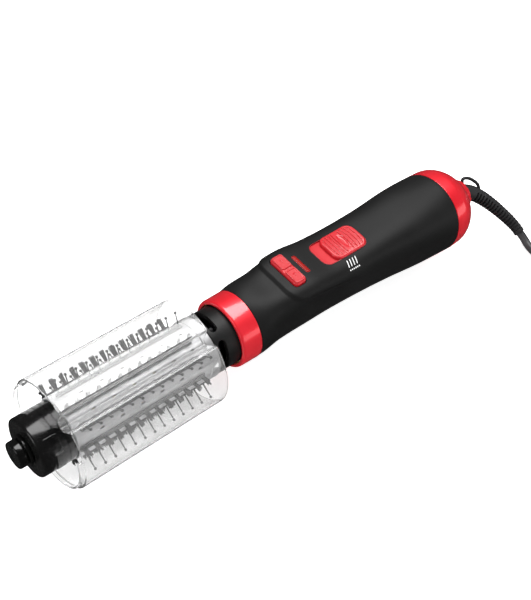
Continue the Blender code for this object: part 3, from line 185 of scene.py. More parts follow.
def turned_shape(outline, reach=0.0, segments=96, closed=True, steps=6):
    """An outline of (station, radius) points, its corners eased, swept round the brush axis."""
    profile = eased(outline, reach, steps, closed)
    angles = np.arange(segments) * 360.0 / segments
    grid = on_axis(profile[:, :1], np.maximum(profile[:, 1:], 0), angles[None, :])
    return grid_shape(grid, wrap_rows=closed, wrap_columns=True)


def swept_shape(path, radius, sides):
    """A round section carried along a path; radius is a function of (run, angle)."""
    across, over = frames_along(path)
    angle = np.arange(sides) * math.tau / sides
    run = np.concatenate([[0], np.cumsum(np.linalg.norm(np.diff(path, axis=0), axis=1))])
    size = radius(run[:, None], angle[None, :])
    out = np.cos(angle)[None, :, None] * across[:, None] + np.sin(angle)[None, :, None] * over[:, None]
    return solid_of(path[:, None] + size[..., None] * out)


def height_shape(half_length, half_across, corner, height, base, place, count=(120, 80)):
    """A pad with a rounded rectangular outline and a top given by a height function.

    Each row across the pad is scaled to the outline's length there. The rows and columns crowd
    towards the edges, where the top rounds over, and a skirt goes down to the base."""
    s = np.sin(np.linspace(-1, 1, count[0]) * math.pi / 2)[None, :]
    t = np.sin(np.linspace(-1, 1, count[1]) * math.pi / 2)[:, None]
    v = t * half_across * np.ones_like(s)
    over = np.maximum(np.abs(v) - (half_across - corner), 0)
    u = s * (half_length - corner + np.sqrt(np.maximum(corner ** 2 - over ** 2, 0)))
    inset = edge_distance(u, v, half_length, half_across, corner)
    verts, faces = grid_shape(place(u, v, height(u, v, inset)))
    rows, columns = u.shape
    index = np.arange(rows * columns).reshape(rows, columns)
    loop = np.concatenate([index[0, :-1], index[:-1, -1], index[-1, :0:-1], index[:0:-1, 0]])
    foot = place(u, v, np.full_like(u, base)).reshape(-1, 3)[loop]
    first = len(verts)
    verts = np.vstack([verts, foot])
    below = first + np.arange(len(loop))
    faces += np.stack([loop, np.roll(loop, -1), np.roll(below, -1), below], -1).tolist()
    faces.append(below.tolist())
    return verts, faces


def edge_distance(u, v, half_length, half_across, corner):
    """Distance inwards from the edge of a rounded rectangle."""
    p = np.abs(u) - half_length + corner
    q = np.abs(v) - half_across + corner
    outside = np.hypot(np.maximum(p, 0), np.maximum(q, 0)) + np.minimum(np.maximum(p, q), 0) - corner
    return np.maximum(-outside, 0)


def rounded_top(inset, height, reach):
    """A top that rises over a quarter circle of the given reach from the edge."""
    rise = np.clip(inset / reach, 0, 1)
    return height - reach + reach * np.sqrt(1 - (1 - rise) ** 2)


def box_shape(low, high):
    """A plain box, used to cut with."""
    x, y, z = ([low[i], high[i]] for i in range(3))
    corners = ((x[0], y[0]), (x[1], y[0]), (x[1], y[1]), (x[0], y[1]))
    return solid_of(np.array([[[a, b, c] for a, b in corners] for c in z]))


def prism_shape(half_length, half_across, corner, centre, low, high):
    """A rounded rectangle in plan, raised between two heights, used to cut with."""
    turn = np.radians(np.concatenate([np.linspace(q, q + 90, 8) for q in (0, 90, 180, 270)]))
    sx, sy = np.repeat([1, -1, -1, 1], 8), np.repeat([1, 1, -1, -1], 8)
    x = centre[0] + sx * (half_length - corner) + corner * np.cos(turn)
    y = centre[1] + sy * (half_across - corner) + corner * np.sin(turn)
    return solid_of(np.stack([np.stack([x, y, np.full_like(x, z)], -1) for z in (low, high)]))


def bent_slot_shape(x, degrees, half_angle, width, inner, outer, steps=24):
    """A round-ended slot bent round the axis, used to cut with."""
    along = -np.cos(np.linspace(0, math.pi, steps))
    share = math.degrees(width / 2 / outer) / half_angle
    into_end = np.maximum(0, (np.abs(along) - (1 - share)) / share)
    half = np.maximum(width / 2 * np.sqrt(np.maximum(1 - into_end ** 2, 0)), width * 0.03)
    turn = degrees + along * half_angle
    section = ((-1, inner), (1, inner), (1, outer), (-1, outer))
    return solid_of(np.stack([on_axis(x + side * half, radius, turn) for side, radius in section], 1))


def joined(*shapes):
    """Several shapes as one list of corners and faces."""
    verts, faces, start = [], [], 0
    for corners, polygons in shapes:
        verts.append(corners)
        faces += [[start + i for i in polygon] for polygon in polygons]
        start += len(corners)
    return np.vstack(verts), faces


def placed(name, data):
    """An object of the given mesh, curve, light or camera, put in the scene."""
    made = bpy.data.objects.new(name, data)
    bpy.context.scene.collection.objects.link(made)
    return made


def mesh_of(name, shape, sharp=SHARP):
    """A mesh with merged corners, outward faces and smooth shading."""
    verts, faces = shape
    mesh = bpy.data.meshes.new(name)
    mesh.from_pydata(verts.tolist(), [], faces)
    work = bmesh.new()
    work.from_mesh(mesh)
    bmesh.ops.remove_doubles(work, verts=work.verts, dist=2e-7)
    bmesh.ops.recalc_face_normals(work, faces=work.faces)
    work.to_mesh(mesh)
    work.free()
    mesh.shade_smooth()
    mesh.set_sharp_from_angle(angle=math.radians(sharp))
    return mesh


def carve(body, tool_shape):
    """Cut a shape from a piece and keep the result as its mesh."""
    tool = placed("tool", mesh_of("tool", tool_shape))
    step = body.modifiers.new("cut", "BOOLEAN")
    step.operation, step.solver, step.object = "DIFFERENCE", "EXACT", tool
    result = bpy.data.meshes.new_from_object(body.evaluated_get(bpy.context.evaluated_depsgraph_get()))
    body.modifiers.clear()
    body.data = result
    result.shade_smooth()
    result.set_sharp_from_angle(angle=math.radians(SHARP))
    bpy.data.objects.remove(tool)


def piece(name, shape, material, body, stands_for=(), sharp=SHARP):
    """A finished piece: its mesh, material, body and the CAD nodes it stands for."""
    made = placed(name, mesh_of(name, shape, sharp))
    made.data.materials.append(material)
    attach(made, body)
    if stands_for:
        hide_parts(*stands_for)
    return made


# ------------------------------------------------------------------ shader groups

def new_group(name, inputs, outputs):
    """An empty shader group with named sockets; a three-part default makes a vector or colour."""
    group = bpy.data.node_groups.new(name, "ShaderNodeTree")
    for label, kind, default in inputs:
        socket = group.interface.new_socket(name=label, in_out="INPUT", socket_type=kind)
        if default is not None:
            socket.default_value = default
    for label, kind in outputs:
        group.interface.new_socket(name=label, in_out="OUTPUT", socket_type=kind)
    return group, group.nodes.new("NodeGroupInput"), group.nodes.new("NodeGroupOutput")


def link(tree, start, end):
    """Join an output socket to an input socket."""
    tree.links.new(start, end)


def make_grain_group():
    """Moulded or brushed grain: noise, stretched by Stretch, raised by Depth into a normal."""
    group, gin, gout = new_group(
        "surface_grain",
        [("Vector", "NodeSocketVector", None), ("Stretch", "NodeSocketVector", (1.0, 1.0, 1.0)),
         ("Scale", "NodeSocketFloat", 900.0), ("Depth", "NodeSocketFloat", 0.00003)],
        [("Mask", "NodeSocketFloat"), ("Normal", "NodeSocketVector")])
    nodes = group.nodes
    mapping, noise, bump = (nodes.new(kind) for kind in (
        "ShaderNodeMapping", "ShaderNodeTexNoise", "ShaderNodeBump"))
    noise.inputs["Detail"].default_value = 3.0
    link(group, gin.outputs["Vector"], mapping.inputs["Vector"])
    link(group, gin.outputs["Stretch"], mapping.inputs["Scale"])
    link(group, mapping.outputs["Vector"], noise.inputs["Vector"])
    link(group, gin.outputs["Scale"], noise.inputs["Scale"])
    link(group, noise.outputs["Fac"], bump.inputs["Height"])
    link(group, gin.outputs["Depth"], bump.inputs["Distance"])
    link(group, noise.outputs["Fac"], gout.inputs["Mask"])
    link(group, bump.outputs["Normal"], gout.inputs["Normal"])
    return group


def make_handling_group():
    """Handling: broad soft patches that change the colour a little and the roughness a little more."""
    group, gin, gout = new_group(
        "handling_marks",
        [("Vector", "NodeSocketVector", None), ("Colour", "NodeSocketColor", (0.5, 0.5, 0.5, 1.0)),
         ("Worn Colour", "NodeSocketColor", (0.6, 0.6, 0.6, 1.0)), ("Roughness", "NodeSocketFloat", 0.5),
         ("Spread", "NodeSocketFloat", 0.08), ("Scale", "NodeSocketFloat", 60.0)],
        [("Colour", "NodeSocketColor"), ("Roughness", "NodeSocketFloat")])
    nodes = group.nodes
    noise, ramp, mix, lift = (nodes.new(kind) for kind in (
        "ShaderNodeTexNoise", "ShaderNodeMapRange", "ShaderNodeMix", "ShaderNodeMath"))
    noise.inputs["Detail"].default_value = 4.0
    ramp.inputs["From Min"].default_value, ramp.inputs["From Max"].default_value = 0.35, 0.7
    mix.data_type = "RGBA"
    lift.operation = "MULTIPLY_ADD"
    link(group, gin.outputs["Vector"], noise.inputs["Vector"])
    link(group, gin.outputs["Scale"], noise.inputs["Scale"])
    link(group, noise.outputs["Fac"], ramp.inputs["Value"])
    link(group, ramp.outputs["Result"], mix.inputs["Factor"])
    link(group, gin.outputs["Colour"], mix.inputs[6])
    link(group, gin.outputs["Worn Colour"], mix.inputs[7])
    link(group, ramp.outputs["Result"], lift.inputs[0])
    link(group, gin.outputs["Spread"], lift.inputs[1])
    link(group, gin.outputs["Roughness"], lift.inputs[2])
    link(group, mix.outputs[2], gout.inputs["Colour"])
    link(group, lift.outputs["Value"], gout.inputs["Roughness"])
    return group


GRAIN = make_grain_group()
HANDLING = make_handling_group()


def finish_of(name, colour, roughness, worn=None, metallic=0.0, coat=0.0, coat_roughness=0.06,
              specular=0.5, grain=900.0, depth=0.02, stretch=(1, 1, 1), spread=0.08, patches=60.0):
    """A material: handling patches under a grain, on one Principled shader. Depth is in millimetres."""
    made = bpy.data.materials.new(name)
    made.use_nodes = True
    tree = made.node_tree
    shader = tree.nodes["Principled BSDF"]
    place = tree.nodes.new("ShaderNodeTexCoord")
    marks, texture = tree.nodes.new("ShaderNodeGroup"), tree.nodes.new("ShaderNodeGroup")
    marks.node_tree, texture.node_tree = HANDLING, GRAIN
    worn = worn or tuple(min(1.0, c * 1.25 + 0.004) for c in colour)
    for socket, value in (("Colour", (*colour, 1)), ("Worn Colour", (*worn, 1)), ("Roughness", roughness),
                          ("Spread", spread), ("Scale", patches)):
        marks.inputs[socket].default_value = value
    for socket, value in (("Stretch", stretch), ("Scale", grain), ("Depth", depth * MM)):
        texture.inputs[socket].default_value = value
    for user in (marks, texture):
        link(tree, place.outputs["Object"], user.inputs["Vector"])
    link(tree, marks.outputs["Colour"], shader.inputs["Base Color"])
    link(tree, marks.outputs["Roughness"], shader.inputs["Roughness"])
    link(tree, texture.outputs["Normal"], shader.inputs["Normal"])
    shader.inputs["Metallic"].default_value = metallic
    shader.inputs["Coat Weight"].default_value = coat
    shader.inputs["Coat Roughness"].default_value = coat_roughness
    shader.inputs["Specular IOR Level"].default_value = specular
    return made


def clear_plastic():
    """Clear plastic with a slight milkiness, and long faint drawing streaks along the sleeve.

    Light on its way to a lamp passes nearly straight through, so what is inside stays lit."""
    made = finish_of("clear_sleeve", (0.8, 0.8, 0.8), 0.03, worn=(0.86, 0.86, 0.86), coat=1.0,
                     coat_roughness=0.05, grain=160.0, depth=0.004, stretch=(0.12, 1, 1), spread=0.03,
                     patches=90.0)
    tree = made.node_tree
    shader = tree.nodes["Principled BSDF"]
    shader.inputs["IOR"].default_value = 1.2
    shader.inputs["Coat IOR"].default_value = 1.36
    shader.inputs["Transmission Weight"].default_value = 0.93
    rays, through = tree.nodes.new("ShaderNodeLightPath"), tree.nodes.new("ShaderNodeMapRange")
    through.inputs["To Min"].default_value, through.inputs["To Max"].default_value = 1.0, 0.08
    link(tree, rays.outputs["Is Shadow Ray"], through.inputs["Value"])
    link(tree, through.outputs["Result"], shader.inputs["Alpha"])
    return made


SOFT_TOUCH = finish_of("soft_touch_black", (0.007, 0.007, 0.007), 0.5, worn=(0.01, 0.01, 0.01), grain=2600.0,
                       depth=0.025, specular=0.22, spread=0.06, patches=35.0)
NECK_BLACK = finish_of("moulded_black", (0.006, 0.006, 0.006), 0.42, grain=1800.0, depth=0.02, specular=0.25)
GLOSS_BLACK = finish_of("gloss_black", (0.002, 0.002, 0.002), 0.12, specular=0.42, grain=500.0,
                        depth=0.002, spread=0.05)
RED_METAL = finish_of("metallic_red", (0.86, 0.012, 0.026), 0.36, worn=(0.9, 0.02, 0.036), metallic=0.42,
                      coat=1.0, coat_roughness=0.12, grain=5200.0, depth=0.006, spread=0.04)
RED_GLOSS = finish_of("gloss_red", (0.52, 0.009, 0.016), 0.36, worn=(0.57, 0.015, 0.024), coat=0.35,
                      specular=0.4, grain=700.0, depth=0.003)
LENS_RED = finish_of("lens_red", (0.26, 0.008, 0.006), 0.25, worn=(0.36, 0.014, 0.01), specular=0.3,
                     grain=400.0, depth=0.004)
PRINT_WHITE = finish_of("print_white", (0.85, 0.85, 0.85), 0.5, grain=3000.0, depth=0.004)
BARREL_METAL = finish_of("barrel_metal", (0.42, 0.42, 0.425), 0.42, metallic=0.7, grain=420.0,
                         depth=0.01, stretch=(6, 1, 1))
BRISTLE = finish_of("bristle_nylon", (0.008, 0.008, 0.008), 0.45, grain=2500.0, depth=0.01, specular=0.3)
RUBBER = finish_of("cord_rubber", (0.012, 0.012, 0.013), 0.46, grain=1500.0, depth=0.03)
CORD_GREY = finish_of("cord_sheath", (0.03, 0.03, 0.032), 0.4, grain=1500.0, depth=0.02)
STEEL = finish_of("plated_steel", (0.56, 0.56, 0.57), 0.28, metallic=1.0, depth=0.01, stretch=(1, 5, 1))
BRASS = finish_of("brass", (0.72, 0.5, 0.22), 0.3, metallic=1.0, depth=0.01)
MICA = finish_of("mica_board", (0.55, 0.45, 0.32), 0.45, worn=(0.68, 0.6, 0.47), grain=1200.0, depth=0.03)
BOARD = finish_of("solder_mask", (0.015, 0.14, 0.06), 0.35, grain=600.0, depth=0.02)
CLEAR = clear_plastic()


# ------------------------------------------------------------------ handle form

# distance behind the collar, half width, height, depth, squareness of the upper half
HANDLE_STATIONS = np.array([
    (0.0, 19.3, 19.3, 19.3, 2.0),
    (15.0, 18.8, 20.8, 18.2, 3.3),
    (26.0, 18.8, 21.8, 17.4, 4.4),
    (36.0, 18.9, 21.9, 17.3, 4.8),
    (55.0, 18.7, 19.6, 17.5, 4.3),
    (76.0, 18.8, 19.3, 18.6, 3.8),
    (99.0, 20.1, 20.4, 21.0, 3.1),
    (122.0, 22.4, 22.4, 23.2, 2.6),
    (146.0, 24.0, 24.0, 24.0, 2.0),
])
RIDGE_FRONT = 22.0           # millimetres behind the collar
RIDGE_RISE = 1.3             # millimetres
RIDGE_CORNER = 9.0           # millimetres, the rounding of the U's two front corners


def handle_section(x):
    """Half width, height, depth and squareness at stations, on a cubic curve through the table."""
    back = np.clip((np.asarray(x, float) - X_SHELL) / (X_REAR - X_SHELL), 0, 1) * HANDLE_STATIONS[-1, 0]
    place, values = HANDLE_STATIONS[:, 0], HANDLE_STATIONS[:, 1:]
    slope = np.gradient(values, place, axis=0)
    k = np.clip(np.searchsorted(place, back, side="right") - 1, 0, len(place) - 2)
    span = place[k + 1] - place[k]
    t = ((back - place[k]) / span)[..., None]
    span = span[..., None]
    curve = ((2 * t ** 3 - 3 * t ** 2 + 1) * values[k] + (t ** 3 - 2 * t ** 2 + t) * slope[k] * span
             + (3 * t ** 2 - 2 * t ** 3) * values[k + 1] + (t ** 3 - t ** 2) * slope[k + 1] * span)
    return curve[..., 0] * MM, curve[..., 1] * MM, curve[..., 2] * MM, curve[..., 3]


def handle_radius(x, degrees):
    """Radius of the handle's skin. The upper half is a squared ellipse and the lower a plain one.

    A U-shaped ledge runs round the controls: outside it the skin lies lower, by a rise that fades
    away towards the rear."""
    half, height, depth, square = handle_section(x)
    turn = np.radians(degrees)
    up = np.cos(turn) > 0
    tall, power = np.where(up, height, depth), np.where(up, square, 2.0)
    radius = (np.abs(np.sin(turn) / half) ** power + np.abs(np.cos(turn) / tall) ** power) ** (-1 / power)
    back = (x - X_SHELL) / MM
    side = 45.0 + 16.0 * smooth(back, 24.0, 80.0)
    skin_radius = 20.0
    p = RIDGE_FRONT - back + RIDGE_CORNER
    q = np.radians(np.abs(degrees) - side) * skin_radius + RIDGE_CORNER
    beyond = np.hypot(np.maximum(p, 0), np.maximum(q, 0)) + np.minimum(np.maximum(p, q), 0) - RIDGE_CORNER
    rise = RIDGE_RISE * MM * smooth(back, 4.0, 18.0) * (1 - smooth(back, 42.0, 82.0))
    return radius - rise * smooth(beyond, -0.6, 1.7) * (1 - smooth(np.abs(degrees), 95.0, 150.0))


def deck_height(x, y):
    """Height of the deck over a point in plan."""
    half, height, _, square = handle_section(x)
    return AXIS_Z + height * (1 - np.abs(y / half) ** square) ** (1 / square)


def on_deck(x0):
    """A placing for pads: (u, v) in plan from a station, h above the deck."""
    def place(u, v, h):
        x = x0 + u
        return np.stack([x, v, deck_height(x, v) + h], -1)
    return place


def shell_shape(start, end, columns):
    """A wall of the handle between two angles, its rim rolled in a little along the seam."""
    drawn_length = 145.9 * MM
    back = [np.linspace(0.3, 17, 14), np.linspace(17.5, 31, 42), np.linspace(32, 145.6, 84)]
    x = (X_SHELL + np.concatenate(back) * MM * ((X_REAR - X_SHELL) / drawn_length))[:, None]
    angles = np.linspace(start, end, columns)[None, :]
    roll = np.zeros(columns)
    roll[[0, -1]] = 0.22 * MM
    outer_r = handle_radius(x, np.where(angles > 180, angles - 360, angles)) - roll
    outer_r[[0, -1]] -= 0.15 * MM
    outer = on_axis(x, outer_r, angles)
    inner = on_axis(x, outer_r - SHELL_WALL, angles)
    loop = np.concatenate([outer, inner[:, ::-1]], 1)
    verts, faces = grid_shape(loop, wrap_columns=True)
    rows, count = loop.shape[:2]
    for row in (0, rows - 1):
        first = row * count
        for k in range(columns - 1):
            faces.append([first + k, first + k + 1, first + count - 2 - k, first + count - 1 - k])
    return verts, faces


# ------------------------------------------------------------------ handle pieces

def node_middle(node):
    """Middle and half size of a node's box."""
    low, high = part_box(node)
    return (low + high) / 2, (high - low) / 2


def build_shells():
    """Upper and lower shells, with openings for the controls and two screw bores."""
    seam_half = 0.5
    above = shell_shape(-SEAM_ANGLE + seam_half, SEAM_ANGLE - seam_half, 150)
    upper = piece("upper_shell_skin", above, SOFT_TOUCH, "handle", ["upper_shell"])
    openings = []
    for node, margin, corner in (("rocker_button", 0.45, 2.7), ("indicator_lens", 0.12, 1.1),
                                 ("slide_tray", -0.35, 4.2)):
        centre, half = node_middle(node)
        openings.append(prism_shape(half.x + margin * MM, half.y + margin * MM, corner * MM, centre,
                                    AXIS_Z + 8 * MM, AXIS_Z + 30 * MM))
    carve(upper, joined(*openings))

    below = shell_shape(SEAM_ANGLE + seam_half, 360 - SEAM_ANGLE - seam_half, 80)
    lower = piece("lower_shell_skin", below, SOFT_TOUCH, "handle", ["lower_shell"])
    bores = []
    bore_r = 3.0 * MM
    for number in (1, 2):
        centre, _ = node_middle(f"shell_screw_{number}")
        bores.append(prism_shape(bore_r, bore_r, bore_r - 0.01 * MM, centre, 0.0, AXIS_Z - 10 * MM))
        low = AXIS_Z - float(handle_section(centre.x)[2]) + 0.9 * MM
        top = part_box(f"shell_screw_{number}")[0].z + 2.4 * MM
        seat = top - 1.2 * MM
        # radius in millimetres and height in metres, so the points gather on the flat rims
        wall = [(3.05, low), (4.4, low), (4.4, top), (1.7, top), (1.7, seat), (3.05, seat)]
        ring = even_run(wall, 60, True)
        turn = np.arange(40) * math.tau / 40
        sleeve = np.stack([centre.x + ring[:, :1] * MM * np.cos(turn), ring[:, :1] * MM * np.sin(turn),
                           ring[:, 1:] * np.ones_like(turn)], -1)
        piece(f"screw_boss_{number}", grid_shape(sleeve, True, True), NECK_BLACK, "handle")
    carve(lower, joined(*bores))


def build_collar():
    """The red front ring: a thin wall with an inner lip at its front."""
    inner = COLLAR_R - 2.0 * MM
    lip, lip_end = inner - 0.3 * MM, X_COLLAR + 2.2 * MM
    outline = [(X_COLLAR, lip), (X_COLLAR, COLLAR_R - 0.2 * MM), (X_SHELL, COLLAR_R), (X_SHELL, inner),
               (lip_end, inner), (lip_end, lip)]
    reach = np.array([0.4, 2.0, 0.25, 0.3, 0.2, 0.2]) * MM
    ring = turned_shape(outline, reach, 160, steps=10)
    piece("collar_ring", ring, RED_METAL, "handle", ["front_collar"])


def build_rear_cap():
    """Ring, stepped dome and cord boss in one turning, with lower air slots and small boss notches."""
    ring_end = X_REAR + 8.6 * MM
    boss_r, bore = 9.2 * MM, 6.2 * MM
    outline = [(X_REAR, REAR_R - 2 * MM), (X_REAR, REAR_R), (ring_end, REAR_R - 0.4 * MM),
               (ring_end + 4.6 * MM, REAR_R - 2.4 * MM), (ring_end + 8.6 * MM, 18.6 * MM),
               (ring_end + 12.6 * MM, 13.3 * MM), (X_END - 4.3 * MM, 10.5 * MM), (X_END, boss_r),
               (X_END, bore), (X_END - 6 * MM, bore), (X_END - 8 * MM, 9.0 * MM),
               (ring_end, REAR_R - 5 * MM), (X_REAR + 5 * MM, REAR_R - 2 * MM)]
    reach = np.array([0.2, 0.35, 2.4, 2.3, 2.4, 2.6, 2.2, 0.7, 0.4, 0.3, 1, 2, 2]) * MM
    turned = turned_shape(outline, reach, 160, steps=8)
    cap = piece("rear_cap_shell", turned, RED_METAL, "handle", ["rear_cap"])
    cutters = []
    slots, slot_step = 7, 22.0
    for number in range(slots):
        turn = math.radians(180.0 + (number - slots // 2) * slot_step)
        verts, faces = box_shape((ring_end + 2 * MM, -0.9 * MM, 12.5 * MM), (X_END, 0.9 * MM, 18.5 * MM))
        spun = np.stack([verts[:, 0], verts[:, 1] * math.cos(turn) + verts[:, 2] * math.sin(turn),
                         AXIS_Z - verts[:, 1] * math.sin(turn) + verts[:, 2] * math.cos(turn)], -1)
        cutters.append((spun, faces))
    for turn in (-20.0, -62.0, 70.0, 160.0, -130.0):
        centre, notch = on_axis(X_END, boss_r, turn), np.array([0.9, 0.8, 0.8]) * MM
        cutters.append(box_shape(centre - notch, centre + notch))
    carve(cap, joined(*cutters))


def build_rocker():
    """Rocker: two framed pads on one body, with a raised mark on each."""
    centre, half = node_middle("rocker_button")
    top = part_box("rocker_button")[1].z
    deck = float(deck_height(centre.x, 0.0))
    proud = top - deck
    half_pad = half.y / 2

    def height(u, v, inset):
        body = rounded_top(inset, proud - 0.7 * MM, 1.0 * MM)
        local = np.abs(v) - half_pad
        frame_in = edge_distance(u, local, half.x - 0.45 * MM, half_pad - 0.45 * MM, 1.6 * MM)
        pad = 0.75 * MM * smooth(frame_in, 0.0, 0.4 * MM)
        pad -= 0.28 * MM * smooth(frame_in, 0.85 * MM, 1.15 * MM)
        across = u / MM
        along = (local / MM) * np.sign(v)
        stem = smooth(0.22 - np.abs(across), 0, 0.12) * smooth(1.6 - np.abs(along), 0, 0.3)
        head = smooth(0.22 - np.abs(np.abs(across) - (1.7 - along) * 0.7), 0, 0.14)
        head *= smooth(along, 0.4, 0.7) * smooth(1.8 - along, 0, 0.2)
        return body + pad + 0.16 * MM * np.maximum(stem, head) * smooth(frame_in, 1.1 * MM, 1.3 * MM)

    def place(u, v, h):
        return np.stack([centre.x + u, v, deck + h], -1)

    cap = height_shape(half.x, half.y, corner=2.4 * MM, height=height, base=-2.2 * MM, place=place,
                       count=(90, 220))
    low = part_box("rocker_button")[0].z
    stem_x, stem_y = 2.9 * MM, 2.6 * MM
    stem = box_shape((centre.x - stem_x, -stem_y, low), (centre.x + stem_x, stem_y, deck - 2.0 * MM))
    piece("rocker_cap", joined(cap, stem), RED_GLOSS, "rocker", ["rocker_button"])


def build_lens():
    """The indicator's window, and the thin red rim that it stands in."""
    centre, half = node_middle("indicator_lens")
    on_place = on_deck(centre.x)

    def window(u, v, inset):
        return rounded_top(inset, 0.25 * MM, 0.7 * MM)
    shape = height_shape(half.x, half.y, corner=1.05 * MM, height=window, base=-2.2 * MM, place=on_place,
                         count=(30, 90))
    piece("light_window", shape, LENS_RED, "handle", ["indicator_lens"])

    def rim(u, v, inset):
        return 0.05 * MM * smooth(inset, 0.0, 0.08 * MM) - 1.2 * MM * smooth(inset, 0.14 * MM, 0.2 * MM)
    width = 0.2 * MM
    edge = height_shape(half.x + width, half.y + width, corner=1.2 * MM, height=rim, base=-1.6 * MM,
                        place=on_place, count=(60, 120))
    piece("light_window_rim", edge, RED_GLOSS, "handle")


def build_slide():
    """The tray, a shallow pan in the deck, and the slide with its cross grooves and thumb dish."""
    centre, half = node_middle("slide_tray")
    depth, lip = 0.75 * MM, 0.1 * MM

    def pan(u, v, inset):
        return lip * smooth(inset, 0.0, 0.2 * MM) - (depth + lip) * smooth(inset, 0.15 * MM, 0.55 * MM)
    tray = height_shape(half.x, half.y, corner=4.8 * MM, height=pan, base=-2.6 * MM,
                        place=on_deck(centre.x), count=(130, 90))
    piece("slide_pan", tray, RED_GLOSS, "handle", ["slide_tray"])

    knob, size = node_middle("slide_knob")
    length, width = size.x + 0.15 * MM, half.y + 0.1 * MM
    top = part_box("slide_knob")[1].z - float(deck_height(knob.x, 0.0)) + 0.25 * MM

    def height(u, v, inset):
        """A crowned cap with a raised border, bowed cross grooves before and behind, and a thumb dish."""
        crown = rounded_top(inset, top, 1.0 * MM) - 0.6 * MM * (v / width) ** 2
        bow = (np.abs(u + 0.4 * MM) + 0.8 * MM * (v / width) ** 2) / MM
        ribs = smooth(np.abs(((bow - 2.4) / 2.3) % 1.0 - 0.5), 0.2, 0.34)
        ribs *= smooth(bow, 2.4, 2.7) * smooth(inset, 1.3 * MM, 1.7 * MM)
        dish = smooth(1 - (u / (2.1 * MM)) ** 2 - (v / (5.6 * MM)) ** 2, 0.0, 0.9)
        return crown - 0.5 * MM * ribs - 0.6 * MM * dish

    def place(u, v, h):
        x = knob.x + u
        return np.stack([x, v, deck_height(x, 0.0 * v) + h], -1)
    cap = height_shape(length, width, corner=4.6 * MM, height=height, base=-depth - 0.35 * MM, place=place,
                       count=(240, 130))
    piece("slide_cap", cap, RED_GLOSS, "slider", ["slide_knob"])


def build_prints():
    """Four slanting bars and a short row of ticks beside the slide, printed on the deck."""
    centre, _ = node_middle("slide_tray")
    shapes = []

    def printed(x0, y0, x1, y1, width):
        run = np.linspace(0, 1, 14)[:, None]
        side = np.array([[-0.5, 0.5]])
        length = math.hypot(x1 - x0, y1 - y0)
        nx, ny = -(y1 - y0) / length, (x1 - x0) / length
        x = x0 + (x1 - x0) * run + nx * width * side
        y = y0 + (y1 - y0) * run + ny * width * side
        angle = np.degrees(np.arctan2(y, deck_height(x, y) - AXIS_Z))
        top = on_axis(x, handle_radius(x, angle) + 0.035 * MM, angle)
        low = on_axis(x, handle_radius(x, angle) - 0.2 * MM, angle)
        ring = np.concatenate([top, low[:, ::-1]], 1)
        shapes.append(solid_of(ring))
    bars, ticks, width = 4, 6, 0.5 * MM
    for k in range(bars):
        x = centre.x - 3.4 * MM + k * 2.0 * MM
        printed(x, -10.6 * MM, x - 1.2 * MM, -14.4 * MM, width)
    for k in range(ticks):
        x = centre.x - 4.9 * MM + k * 1.3 * MM
        printed(x, -15.6 * MM, x + 0.75 * MM, -15.65 * MM, width)
    piece("heat_mark", joined(*shapes), PRINT_WHITE, "handle")


# ------------------------------------------------------------------ brush head

